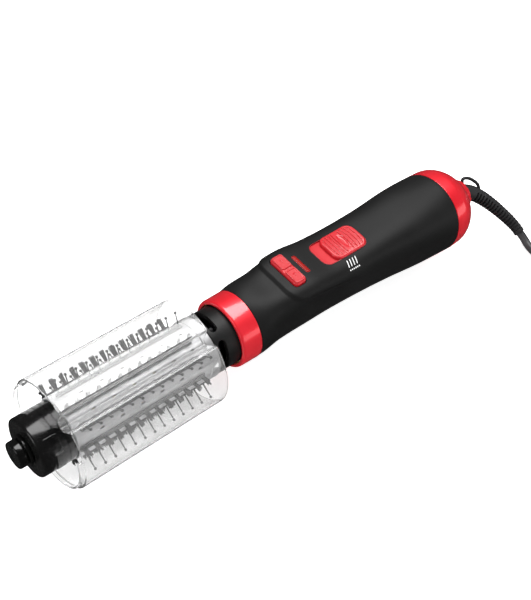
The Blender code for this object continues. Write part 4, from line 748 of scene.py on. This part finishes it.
def build_tip():
    """The cool tip with its dished face and waist, the end cap with two seams, and the release latch."""
    dish, button_r, waist_r = 0.25 * MM, 7.0 * MM, 5.8 * MM
    collar_x, collar_r = X_TIP + 4.7 * MM, 7.9 * MM
    back, spigot_end, spigot_r = X_FACE - RUNNING_GAP, X_FACE + 2.4 * MM, 3.0 * MM
    knob = [(X_TIP + dish, 0.0), (X_TIP + dish, 2.0 * MM), (X_TIP, 2.6 * MM), (X_TIP, button_r),
            (X_TIP + 3.9 * MM, button_r), (X_TIP + 4.0 * MM, waist_r), (collar_x, waist_r),
            (collar_x, collar_r), (back, collar_r), (back, spigot_r), (spigot_end, spigot_r),
            (spigot_end, 0.0)]
    reach = np.array([0, 0.3, 0.3, 0.9, 0.3, 0.1, 0.1, 0.35, 0.3, 0.1, 0.2, 0]) * MM
    button = turned_shape(knob, reach, 120, closed=False)
    piece("tip_button", button, GLOSS_BLACK, "cool_tip", ["tip_knob"])

    plug = BARREL_R - SPIGOT_INSET
    web = X_FACE + 2.2 * MM
    seam = 0.25 * MM
    cap = [(X_FACE, 3.3 * MM), (X_FACE, 8.6 * MM), (X_FACE + 0.25 * MM, 9.0 * MM), (X_FACE, 9.6 * MM),
           (X_FACE, CAP_R)]
    reach = [0.2, 0.1, 0.1, 0.2, 1.3]
    for x in (X_COVER + RIM_LENGTH - 2.7 * MM, X_COVER + RIM_LENGTH + 1.0 * MM):
        cap += [(x + across, CAP_R - down) for across, down in
                ((-seam, 0.0), (-seam / 2, seam), (seam / 2, seam), (seam, 0.0))]
        reach += [0.08, 0.05, 0.05, 0.08]
    shoulder = X_BARREL - RUNNING_GAP
    cap += [(shoulder, CAP_R), (shoulder, plug), (X_CAP_END, plug), (X_CAP_END, plug - 1.4 * MM),
            (X_FACE + 4.2 * MM, plug - 1.4 * MM), (web, plug - 3.2 * MM), (web, 3.3 * MM)]
    reach += [0.3, 0.2, 0.3, 0.2, 0.5, 0.5, 0.2]
    shell = turned_shape(cap, np.array(reach) * MM, 160, steps=8)
    piece("end_cap_shell", shell, GLOSS_BLACK, "brush_head", ["end_cap"])

    def on_cap(x0, turn):
        """A placing for pads: (u, v) from a station and an angle on the cap, h above its skin."""
        def place(u, v, h):
            return on_axis(x0 + u, CAP_R + h, turn + np.degrees(v / CAP_R))
        return place

    def latch_top(u, v, inset):
        return 0.16 * MM * smooth(inset, 0, 0.3 * MM)

    def block_top(u, v, inset):
        return 0.75 * MM * smooth(inset, 0, 0.5 * MM)
    sunk = -0.6 * MM
    latch = height_shape(3.9 * MM, 9.6 * MM, corner=1.2 * MM, height=latch_top, base=sunk,
                         place=on_cap(X_FACE + 7.3 * MM, -66.0), count=(40, 80))
    block = height_shape(2.8 * MM, 5.4 * MM, corner=0.8 * MM, height=block_top, base=sunk,
                         place=on_cap(X_FACE + 9.0 * MM, -84.0), count=(40, 60))
    piece("release_latch", joined(latch, block), GLOSS_BLACK, "brush_head")


def row_turn(number):
    """Rows alternate round the barrel; the sleeve's groove lies midway between two of them."""
    return GROOVE_ANGLE + (number + 0.5) * 360.0 / ROW_COUNT


def bristle_stations(node="pin_row_1"):
    """Places along the axis of a row's pins or tufts, centred on the row."""
    low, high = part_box(node)
    pitch = 5.8 * MM
    count = round((high.x - low.x - 3.8 * MM) / pitch) + 1
    return (low.x + high.x) / 2 + (np.arange(count) - (count - 1) / 2) * pitch


def raised_rods(x, turn, lean_x, lean_turn, profile, sides):
    """Thin rods standing on the barrel, all worked out at once.

    Each rod's section follows the profile of (radius from the axis, half thickness); lean_x and
    lean_turn bend its tip along the axis and round it."""
    reach, half = np.array(profile).T
    rise = (reach - reach[0]) / (reach[-1] - reach[0])
    around = np.arange(sides) * math.tau / sides
    base_x = x[:, None, None] + lean_x[:, None, None] * rise[None, :, None] ** 1.4
    base_turn = turn[:, None, None] + lean_turn[:, None, None] * rise[None, :, None] ** 1.4
    off_x = half[None, :, None] * np.cos(around)[None, None, :]
    off_turn = np.degrees(half / reach)[None, :, None] * np.sin(around)[None, None, :]
    grid = on_axis(base_x + off_x, reach[None, :, None] + 0 * off_x, base_turn + off_turn)
    return joined(*(solid_of(rod) for rod in grid))


def strip_shape(turn, length_low, length_high):
    """The curved base of a bristle row, rounded over along its edges."""
    half = (length_high - length_low) / 2
    seat = BARREL_R + 0.15 * MM

    def place(u, v, h):
        return on_axis((length_low + length_high) / 2 + u, seat + h, turn + np.degrees(v / seat))

    def top(u, v, inset):
        return rounded_top(inset, 0.75 * MM, 0.5 * MM)
    return height_shape(half, 1.5 * MM, corner=0.9 * MM, height=top, base=0.0, place=place, count=(40, 16))


def pin_rods(stations, turn, foot):
    """A row of upright pins: a tapered stem under a ball, its section radius the cosine of a half turn."""
    ball = 0.78 * MM
    turns = np.linspace(-0.9, 1, 6) * math.pi / 2
    pin = [(foot, 0.62 * MM), (foot + 1.0 * MM, 0.42 * MM), (PIN_TIP_R - 2 * ball - 0.4 * MM, 0.32 * MM)]
    pin += [(PIN_TIP_R - ball + ball * math.sin(a), max(ball * math.cos(a), 0.04 * MM)) for a in turns]
    flat = np.zeros(len(stations))
    return raised_rods(stations, flat + turn, flat, flat, pin, 8)


def tuft_rods(stations, turn, foot, rng):
    """A row of tufts: fine rods scattered round each station, leaning outwards, in steps of height."""
    each, scatter, half_spread = 24, 0.8, 2.4
    x = np.repeat(stations, each) + rng.uniform(-scatter, scatter, len(stations) * each) * MM
    spread = rng.uniform(-1, 1, len(x))
    lean_x = rng.normal(0, 0.22, len(x)) * MM + (x - np.repeat(stations, each)) * 0.35
    rods_turn = turn + spread * half_spread
    tall = rng.uniform(0.84, 1.04, len(x))
    shapes = []
    for level in np.unique(np.round(tall, 1)):
        chosen = np.round(tall, 1) == level
        tip = foot + (TUFT_TIP_R + 0.3 * MM - foot) * level
        profile = [(foot, 0.26 * MM), (foot + (tip - foot) * 0.55, 0.26 * MM), (tip, 0.19 * MM)]
        shapes.append(raised_rods(x[chosen], rods_turn[chosen], lean_x[chosen], spread[chosen] * 1.4,
                                  profile, 5))
    return joined(*shapes)


def build_bristles():
    """Rows of split tufts and rows of ball-ended pins, alternately, each on its own strip."""
    rng = np.random.default_rng(7)
    foot = BARREL_R + 0.5 * MM
    for number in range(ROW_COUNT):
        turn = row_turn(number)
        kind = "pin" if number % 2 else "tuft"
        place = number // 2 + 1
        node = f"{kind}_row_{place}"
        stations = bristle_stations(node)
        base = strip_shape(turn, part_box(node)[0].x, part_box(node)[1].x)
        rods = pin_rods(stations, turn, foot) if number % 2 else tuft_rods(stations, turn, foot, rng)
        piece(f"{kind}_strip_{place}", joined(base, rods), BRISTLE, "brush_head", [node],
              sharp=50)


def build_barrel():
    """The barrel and its rear flange, with air holes between the rows and white lock marks."""
    flange_start = X_COVER_END - 0.4 * MM
    bore = BARREL_R - 1.0 * MM
    outline = [(X_BARREL, BARREL_R), (flange_start, BARREL_R), (flange_start, FLANGE_R),
               (X_BARREL_END, FLANGE_R), (X_BARREL_END, bore), (X_BARREL, bore)]
    tube = turned_shape(outline, np.array([0.3, 0.1, 0.3, 0.4, 0.2, 0.2]) * MM, 144)
    barrel = piece("barrel_tube", tube, BARREL_METAL, "brush_head", ["brush_barrel"])
    stations = bristle_stations()
    half_long, half_wide, past = 1.3 * MM, 0.6 * MM, 1.0 * MM
    v = np.arange(12) * math.tau / 12
    hole_turn = np.degrees(half_wide * np.sin(v) / BARREL_R)
    holes = []
    for number in range(ROW_COUNT):
        turn = row_turn(number) + 180.0 / ROW_COUNT
        for x in stations[1:-1:2] + 2.9 * MM:
            holes.append(solid_of(np.stack([on_axis(x + half_long * np.cos(v), r, turn + hole_turn)
                                            for r in (bore - past, BARREL_R + past)])))
    carve(barrel, joined(*holes))

    marks = []
    size = 1.6 * MM
    edge = even_run(np.array([(-1.0, 0.0), (0.75, 0.95), (0.75, -0.95)]) * size, 18, True)
    mark_x, mark_turn = X_COVER_END + 2.0 * MM + edge[:, 0], np.degrees(edge[:, 1] / FLANGE_R)
    for turn in (16.0, -76.0, 106.0, -166.0):
        marks.append(solid_of(np.stack([on_axis(mark_x, FLANGE_R + h, turn + mark_turn)
                                        for h in (-0.1 * MM, 0.05 * MM)])))
    piece("lock_marks", joined(*marks), PRINT_WHITE, "brush_head")


def cover_contour():
    """The sleeve's outline across the axis: a circle that folds in along a narrow rounded groove.

    Returns the points and the outward unit normals, in (across, up) with the groove at the top."""
    mouth, floor_r, floor_half = math.radians(8.6), BARREL_R + 2.8 * MM, 1.3 * MM
    arc = np.linspace(mouth, math.tau - mouth, 420)
    circle = COVER_R * np.stack([np.sin(arc), np.cos(arc)], -1)
    lip = circle[0]
    corners = np.array([circle[-1], [-floor_half, floor_r], [floor_half, floor_r], lip])
    kept = 12
    reach = np.array([0, 2.0, 1.5, 1.5, 2.0, 0]) * MM
    fold = eased(np.vstack([circle[-kept], corners, circle[kept]]), reach, 12)
    contour = np.vstack([circle[kept:-kept], even_run(fold, 170)[1:-1]])
    ahead = np.roll(contour, -1, 0) - np.roll(contour, 1, 0)
    normal = np.stack([-ahead[:, 1], ahead[:, 0]], -1)
    normal /= np.linalg.norm(normal, axis=1)[:, None]
    round_part = 200             # a point away from the groove, where outwards is away from the axis
    if (normal[round_part] @ contour[round_part]) < 0:
        normal = -normal
    return contour, normal


def build_cover():
    """The clear sleeve: its outline carried along the axis, its ends rounded.

    A narrower rim stands before the front end except beside the groove, where the stepped and the
    plain wall are blended by angle. Each wall is a loop of (station, depth below the outline)."""
    contour, normal = cover_contour()
    rim = 1.3 * MM
    x0, x1 = X_COVER, X_COVER_END
    full, inner = x0 + RIM_LENGTH, x1 - 0.1 * MM
    shoulder = full + 0.3 * MM
    stepped = [(x0, rim), (full - 0.1 * MM, rim), (shoulder, 0.0), (inner, 0.0), (inner, COVER_WALL),
               (full + 0.6 * MM, COVER_WALL), (full + 0.1 * MM, rim + COVER_WALL), (x0, rim + COVER_WALL)]
    plain = [(full, 0.0), (full + 0.15 * MM, 0.0), (shoulder, 0.0), (inner, 0.0), (inner, COVER_WALL),
             (shoulder, COVER_WALL), (full + 0.15 * MM, COVER_WALL), (full, COVER_WALL)]
    both = np.hstack([eased(stepped, np.array([0.45, 0.3, 0.3, 0.5, 0.5, 0.3, 0.3, 0.45]) * MM, 5, True),
                      eased(plain, np.array([0.4, 0.05, 0.05, 0.5, 0.5, 0.05, 0.05, 0.4]) * MM, 5, True)])
    rows = []
    for a, b in zip(both, np.roll(both, -1, 0)):
        steps = max(1, int(abs(b[0] - a[0]) / (6 * MM)))
        rows.append(a + (b - a) * np.linspace(0, 1, steps, endpoint=False)[:, None])
    rows = np.vstack(rows)
    around = np.degrees(np.arctan2(contour[:, 0], contour[:, 1]))
    rimmed = 1 - smooth(around, -44.0, -38.0) * smooth(-around, -72.0, -66.0)
    profile = rows[:, None, 2:] + (rows[:, None, :2] - rows[:, None, 2:]) * rimmed[None, :, None]
    flat = contour[None] - normal[None] * profile[..., 1:]
    turn = math.radians(GROOVE_ANGLE)
    y = flat[..., 0] * math.cos(turn) + flat[..., 1] * math.sin(turn)
    z = -flat[..., 0] * math.sin(turn) + flat[..., 1] * math.cos(turn)
    grid = np.stack([profile[..., 0], y, AXIS_Z + z], -1)
    sleeve = grid_shape(grid, wrap_rows=True, wrap_columns=True)
    piece("clear_sleeve", sleeve, CLEAR, "cover", ["clear_cover"], sharp=60)


def build_hub():
    """The neck: spigot, slotted sleeve and internal ring gear."""
    spigot, bore = BARREL_R - SPIGOT_INSET, NECK_R - 2.9 * MM
    shoulder = X_BARREL_END + RUNNING_GAP
    teeth, module, gear_width = 34, 0.8 * MM, 5.6 * MM
    pitch = module * teeth / 2
    tip = pitch - 0.75 * module
    gear_x = X_HUB_END - gear_width
    outline = [(X_HUB, spigot), (shoulder, spigot), (shoulder, NECK_R), (X_HUB_END, NECK_R),
               (X_HUB_END, tip), (gear_x, tip), (gear_x - 0.6 * MM, bore), (X_HUB, bore)]
    sleeve = turned_shape(outline, np.array([0.4, 0.1, 0.5, 0.3, 0.1, 0.1, 0.1, 0.3]) * MM, 144)
    hub = piece("neck_sleeve", sleeve, NECK_BLACK, "hub", ["drive_hub"])
    slots = 4
    cutters = [bent_slot_shape(shoulder + 4.1 * MM, GROOVE_ANGLE - 46.0 + 360.0 / slots * k, 36.0, 4.6 * MM,
                               bore - 1 * MM, NECK_R + 2 * MM) for k in range(slots)]
    tooth = np.arange(teeth)[:, None] * 360.0 / teeth
    shares = np.array([[-0.74, -0.62, 0.62, 0.74]]) * 180.0 / teeth
    before, root = tip - 0.5 * MM, pitch + 0.95 * module
    radii = np.tile([before, root, root, before], teeth)
    turn = (180.0 + tooth + shares).ravel()
    gear_ends = (gear_x + 0.2 * MM, X_HUB_END + 1 * MM)
    cutters.append(solid_of(np.stack([on_axis(x, radii, turn) for x in gear_ends])))
    carve(hub, joined(*cutters))

    peg_x, peg_turn = shoulder + 3.4 * MM, -12.0
    foot, closed_up = bore + 0.2 * MM, 0.01 * MM
    profile = ((foot, closed_up), (foot, 1.1 * MM), (NECK_R - 1.0 * MM, 1.1 * MM),
               (NECK_R - 0.8 * MM, 0.8 * MM), (NECK_R - 0.75 * MM, closed_up))
    v = np.arange(20) * math.tau / 20
    rings = [on_axis(peg_x + half * np.cos(v), r, peg_turn + np.degrees(half * np.sin(v) / r))
             for r, half in profile]
    piece("neck_peg", grid_shape(np.stack(rings), wrap_columns=True), NECK_BLACK, "hub")


# ------------------------------------------------------------------ cord

# millimetres from the middle of the cord boss's end: along X, Y and Z
GUARD_POINTS = ((1.1, 0, 0), (4.6, -0.7, -0.4), (10.5, -4.2, -2.6), (17.5, -11.0, -7.6),
                (24.0, -19.5, -14.0), (28.3, -27.0, -19.4), (29.6, -32.4, -22.6))
LEAD_POINTS = ((29.9, -36.5, -24.6), (29.2, -40.8, -26.0), (28.15, -46.5, -26.2), (28.3, -55.0, -26.3),
               (30.6, -64.0, -26.3), (34.85, -72.0, -26.3))
# angle round the coil, distance from its middle and height, in degrees and millimetres
TAIL_PLACES = ((150, 22.3, 14.0), (175, 21.9, 16.8), (200, 21.5, 19.1), (235, 21.0, 19.4), (270, 20.6, 20.6),
               (300, 20.3, 22.2), (325, 20.2, 23.3), (346, 20.3, 23.5))
CORD_D = 5.0 * MM
RUN_PER_TURN = 26            # points of the cord's line in each turn of the coil


def from_boss(points):
    """Route points, in millimetres from the middle of the cord boss's end."""
    return np.array(points, float) * MM + np.array([X_END, 0, AXIS_Z])


def coil_points(centre):
    """Nearly nine turns in three layers of three.

    A turn keeps one radius and one height for most of its way, then moves smoothly to the next."""
    outer, step, lowest, rise = 33.0, 5.3, 2.7, 5.1
    unfinished, move_from, start = 0.27, 0.62, 215.0
    layers = ((0, (0, 1, 2)), (1, (2, 1, 0)), (2, (0, 1, 2)))
    radii = np.array([outer - step * place for _, places in layers for place in places])
    heights = np.array([lowest + rise * level for level, places in layers for _ in places])
    t = np.arange(0, len(radii) - unfinished, 1 / RUN_PER_TURN)
    k = np.minimum(t.astype(int), len(radii) - 2)
    blend = smooth(t - k, move_from, 1.0)
    r = radii[k] + (radii[k + 1] - radii[k]) * blend
    z = heights[k] + (heights[k + 1] - heights[k]) * blend
    turn = np.radians(start) + t * math.tau
    return np.stack([centre[0] + r * MM * np.cos(turn), centre[1] + r * MM * np.sin(turn), z * MM], -1)


def build_cord():
    """The lead as one curve from inside the guard to the plug, with its coil, tie and plug."""
    coil, _ = node_middle("cord_coil")
    plug_low, plug_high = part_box("mains_plug")
    plug_x = (plug_low.x + plug_high.x) / 2
    lead = from_boss(LEAD_POINTS)
    guard = from_boss(GUARD_POINTS)
    turns = coil_points((coil.x, coil.y))
    degrees, reach, rise = np.array(TAIL_PLACES, float).T
    turn = np.radians(degrees)
    away = np.stack([coil.x + reach * MM * np.cos(turn), coil.y + reach * MM * np.sin(turn), rise * MM], -1)
    end = np.array([(plug_x, plug_low.y + 0.6 * MM, (plug_low.z + plug_high.z) / 2)])
    begin = guard[-1] + (guard[-2] - guard[-1]) * 0.5
    route = np.vstack([begin, guard[-1], lead, turns, away, end])
    line = flowing(route, 3)
    curve = bpy.data.curves.new("mains_lead", "CURVE")
    curve.dimensions = "3D"
    curve.bevel_depth = CORD_D / 2
    curve.bevel_resolution = 4
    curve.use_fill_caps = True
    spline = curve.splines.new("POLY")
    spline.points.add(len(line) - 1)
    spline.points.foreach_set("co", np.hstack([line, np.ones((len(line), 1))]).ravel())
    spline.use_smooth = True
    curve.materials.append(CORD_GREY)
    cord = placed("mains_lead", curve)
    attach(cord, "handle")
    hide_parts("cord_lead", "cord_coil", "cord_tail")
    tie = build_tie(coil)
    plug, pins = build_plug(plug_low, plug_high, plug_x)


def squared(wave, power):
    """A cosine or sine whose size is raised to a power, which squares up a round section."""
    return np.sign(wave) * np.abs(wave) ** power


def build_tie(coil):
    """The band round the coil's strands: a squared loop of flat strip, resting on the table."""
    tie_turn = math.radians(75)
    middle_r, height, half_across, half_tall = 27.7 * MM, 7.9 * MM, 9.4 * MM, 8.3 * MM
    half_strip, thickness_share = 3 * MM, 0.09
    outward = np.array([math.cos(tie_turn), math.sin(tie_turn), 0])
    along = np.array([-math.sin(tie_turn), math.cos(tie_turn), 0])
    centre = np.array([coil.x, coil.y, height]) + middle_r * outward
    v = np.linspace(0, math.tau, 49)[:-1]
    loop = centre + half_across * squared(np.cos(v), 0.5)[:, None] * outward
    loop[:, 2] = height + half_tall * squared(np.sin(v), 0.5)
    section = ((-1, 0), (1, 0), (1, thickness_share), (-1, thickness_share))
    ring = np.stack([loop + along * side * half_strip + (loop - centre) * out for side, out in section], 1)
    ring[..., 2] = np.maximum(ring[..., 2], 0.0)
    return piece("cord_tie", grid_shape(ring, wrap_rows=True, wrap_columns=True), RUBBER, "handle")


def build_plug(low, high, x):
    """A slim two-pin plug: squared sections lofted from the cord to the face, with grip ridges."""
    y0, span = low.y, high.y - low.y
    z = (low.z + high.z) / 2
    steps, sides = 90, 72
    s = np.linspace(0, 1, steps)
    stations = np.array([0, 0.1, 0.22, 0.39, 0.56, 0.94, 1.0])
    wide = np.interp(s, stations, np.array([3.5, 3.9, 4.6, 7.6, 12.4, 13.0, 12.1])) * MM
    tall = np.interp(s, stations, np.array([3.5, 3.9, 4.5, 5.9, 6.9, 7.0, 6.3])) * MM
    blur = 7                     # steps over which the sections are averaged
    kernel = np.ones(blur) / blur
    wide = np.convolve(np.pad(wide, blur // 2, "edge"), kernel, "valid")
    tall = np.convolve(np.pad(tall, blur // 2, "edge"), kernel, "valid")
    relief = 0.35 * MM * (np.sin(s * 150) > 0.2) * (s < 0.2)
    relief += 0.3 * MM * smooth(np.sin(s * 60), 0, 0.4) * ((s > 0.62) & (s < 0.88))
    v = np.arange(sides) * math.tau / sides
    y = y0 + s * span
    grid = np.stack([x + (wide - relief)[:, None] * squared(np.cos(v), 0.65)[None],
                     np.broadcast_to(y[:, None], (steps, sides)),
                     z + tall[:, None] * squared(np.sin(v), 0.65)[None]], -1)
    plug = piece("plug_body", solid_of(grid), RUBBER, "handle", ["mains_plug"])
    sleeve_r, pin_r = 1.97, 1.7
    outline = eased([(0, 0), (0, sleeve_r), (10.0, sleeve_r), (10.01, pin_r), (16.6, pin_r), (18.9, 0.8),
                     (19.0, 0)], [0, 0.2, 0, 0, 1.5, 0.6, 0], 6) * MM
    turn = np.arange(32) * math.tau / 32
    pins = []
    for number in (1, 2):
        centre, half = node_middle(f"plug_pin_{number}")
        base_y = centre.y - half.y - RUNNING_GAP
        grid = np.stack([centre.x + outline[:, 1:] * np.cos(turn), base_y + outline[:, :1] + 0 * turn,
                         centre.z + outline[:, 1:] * np.sin(turn)], -1)
        pins.append(piece(f"plug_contact_{number}", grid_shape(grid, wrap_columns=True), STEEL, "handle",
                          [f"plug_pin_{number}"]))
    return plug, pins


def build_guard():
    """The bend guard: smooth base, then ribs joined by an upper and a lower rail, open at the sides."""
    path = even_run(flowing(from_boss(GUARD_POINTS), 16), 420)
    total = float(np.linalg.norm(np.diff(path, axis=0), axis=1).sum())
    base, end, ribs = 9.0 * MM, 1.5 * MM, 17
    pitch = (total - base - end) / ribs

    def radius(run, angle):
        share = run / total
        outer = (4.9 - 1.6 * share) * MM
        core = np.minimum((2.9 - 0.25 * share) * MM, outer)
        phase = ((run - base) / pitch) % 1.0
        rib = np.where((run < base) | (run > total - end), 1.0, smooth(np.abs(phase - 0.5), 0.2, 0.27))
        rail = smooth(np.abs(np.sin(angle)), 0.72, 0.8) * 0.8
        ends = np.minimum(smooth(run, -0.3 * MM, 0.5 * MM), smooth(total - run, -0.4 * MM, 0.4 * MM))
        return (core + (outer - core) * np.maximum(rib, rail)) * (0.82 + 0.18 * ends)
    piece("bend_guard", swept_shape(path, radius, 48), RUBBER, "handle", ["cord_guard"], sharp=40)

    def wire(run, angle):
        return 1.0 * MM + 0 * run * angle
    route = even_run(flowing(from_boss(GUARD_POINTS), 16), 41)
    up = np.array([0.1, 0.62, 0.78])
    near, far = route[2] + up * 5.3 * MM, route[12] + up * 5.0 * MM
    arch = flowing([near - up * 1.2 * MM, near, near + up * 3.2 * MM + (far - near) * 0.1,
                    (near + far) / 2 + up * 5.0 * MM, far + up * 3.4 * MM - (far - near) * 0.06, far,
                    far - up * 1.4 * MM], 10)
    piece("hanging_ring", swept_shape(arch, wire, 16), RUBBER, "handle", ["hanging_loop"])


# ------------------------------------------------------------------ inner pieces, stage, light and camera

def dress_inner_nodes():
    """Materials for the CAD nodes that stay as they are."""
    dressed = {
        STEEL: ("shell_screw_1", "shell_screw_2", "rocker_pin", "fan_motor", "gear_motor", "heater_mount",
                "heater_coil", "tip_screw"),
        BRASS: ("hub_bush", "drive_pinion", "thermostat"),
        MICA: ("heater_tube", "heater_frame"),
        BOARD: ("control_board",),
        LENS_RED: ("indicator_lamp",),
        RUBBER: ("inner_lead", "swivel_bush"),
        NECK_BLACK: ("inlet_screen", "inner_chassis", "rocker_bracket", "microswitch_left",
                     "microswitch_right", "slide_switch", "fan_duct", "fan_impeller", "gearbox_plate"),
    }
    for material, names in dressed.items():
        for name in names:
            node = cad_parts[name]
            node.data.materials.clear()
            node.data.materials.append(material)


def build_stage():
    """A white floor just under the object, an even surround that is darker in reflections, three lamps."""
    white = (0.93, 0.93, 0.93)
    floor_finish = finish_of("studio_floor", white, 0.9, worn=white, specular=0.0, grain=20.0, depth=0.0,
                             spread=0.0)
    side, below = np.array([-3.0, 3.0]), -0.3 * MM
    grid = np.stack([*np.meshgrid(side, side), np.full((2, 2), below)], -1)
    floor = placed("studio_floor", mesh_of("studio_floor", grid_shape(grid)))
    if floor.data.polygons[0].normal.z < 0:
        floor.data.flip_normals()
    floor.data.materials.append(floor_finish)
    shader = floor_finish.node_tree.nodes["Principled BSDF"]
    shader.inputs["Emission Color"].default_value = (1, 1, 1, 1)
    shader.inputs["Emission Strength"].default_value = 0.75
    floor.visible_glossy = False

    world = bpy.data.worlds.new("studio")
    bpy.context.scene.world = world
    world.use_nodes = True
    tree = world.node_tree
    background = tree.nodes["Background"]
    background.inputs["Color"].default_value = (1, 1, 1, 1)
    path, strength = tree.nodes.new("ShaderNodeLightPath"), tree.nodes.new("ShaderNodeMapRange")
    strength.inputs["To Min"].default_value, strength.inputs["To Max"].default_value = 0.56, 0.04
    link(tree, path.outputs["Is Glossy Ray"], strength.inputs["Value"])
    link(tree, strength.outputs["Result"], background.inputs["Strength"])

    for name, place, aim, size, power in (
            ("overhead_box", (0.34, 0.24, 1.1), (0.0, 0.0, 0.03), (0.9, 0.7), 16.0),
            ("tip_side_fill", (-1.1, 0.1, 0.5), (0.0, 0.0, 0.03), (0.6, 0.4), 4.5),
            ("near_side_fill", (0.9, -1.1, 0.3), (0.1, 0.0, 0.03), (1.3, 0.4), 2.6)):
        lamp = bpy.data.lights.new(name, "AREA")
        lamp.shape = "RECTANGLE"
        lamp.size, lamp.size_y = size
        lamp.energy = power
        light = placed(name, lamp)
        light.location = place
        light.rotation_euler = (Vector(aim) - Vector(place)).to_track_quat("-Z", "Y").to_euler()


def build_camera():
    """The camera looks down at the brush from beyond its tip and to one side, rolled a little."""
    stand = (-0.27695, -0.2345, 0.4521)
    heading, tilt, roll = math.radians(40.49), math.radians(49.02), math.radians(11.24)
    camera = bpy.data.cameras.new("camera")
    camera.lens = 63.53
    camera.clip_start, camera.clip_end = 0.01, 20.0
    view = placed("camera", camera)
    facing = Euler((math.pi / 2 - tilt, 0, heading - math.pi / 2), "XYZ").to_matrix()
    rolled = facing @ Matrix.Rotation(roll, 3, "Z")
    view.matrix_world = Matrix.Translation(stand) @ rolled.to_4x4()
    bpy.context.scene.camera = view
    bpy.context.scene.view_settings.view_transform = "Standard"


build_camera()
build_cord()
build_guard()
build_shells()
build_collar()
build_rear_cap()
build_rocker()
build_lens()
build_slide()
build_prints()
build_tip()
build_barrel()
build_bristles()
build_cover()
build_hub()
dress_inner_nodes()
build_stage()
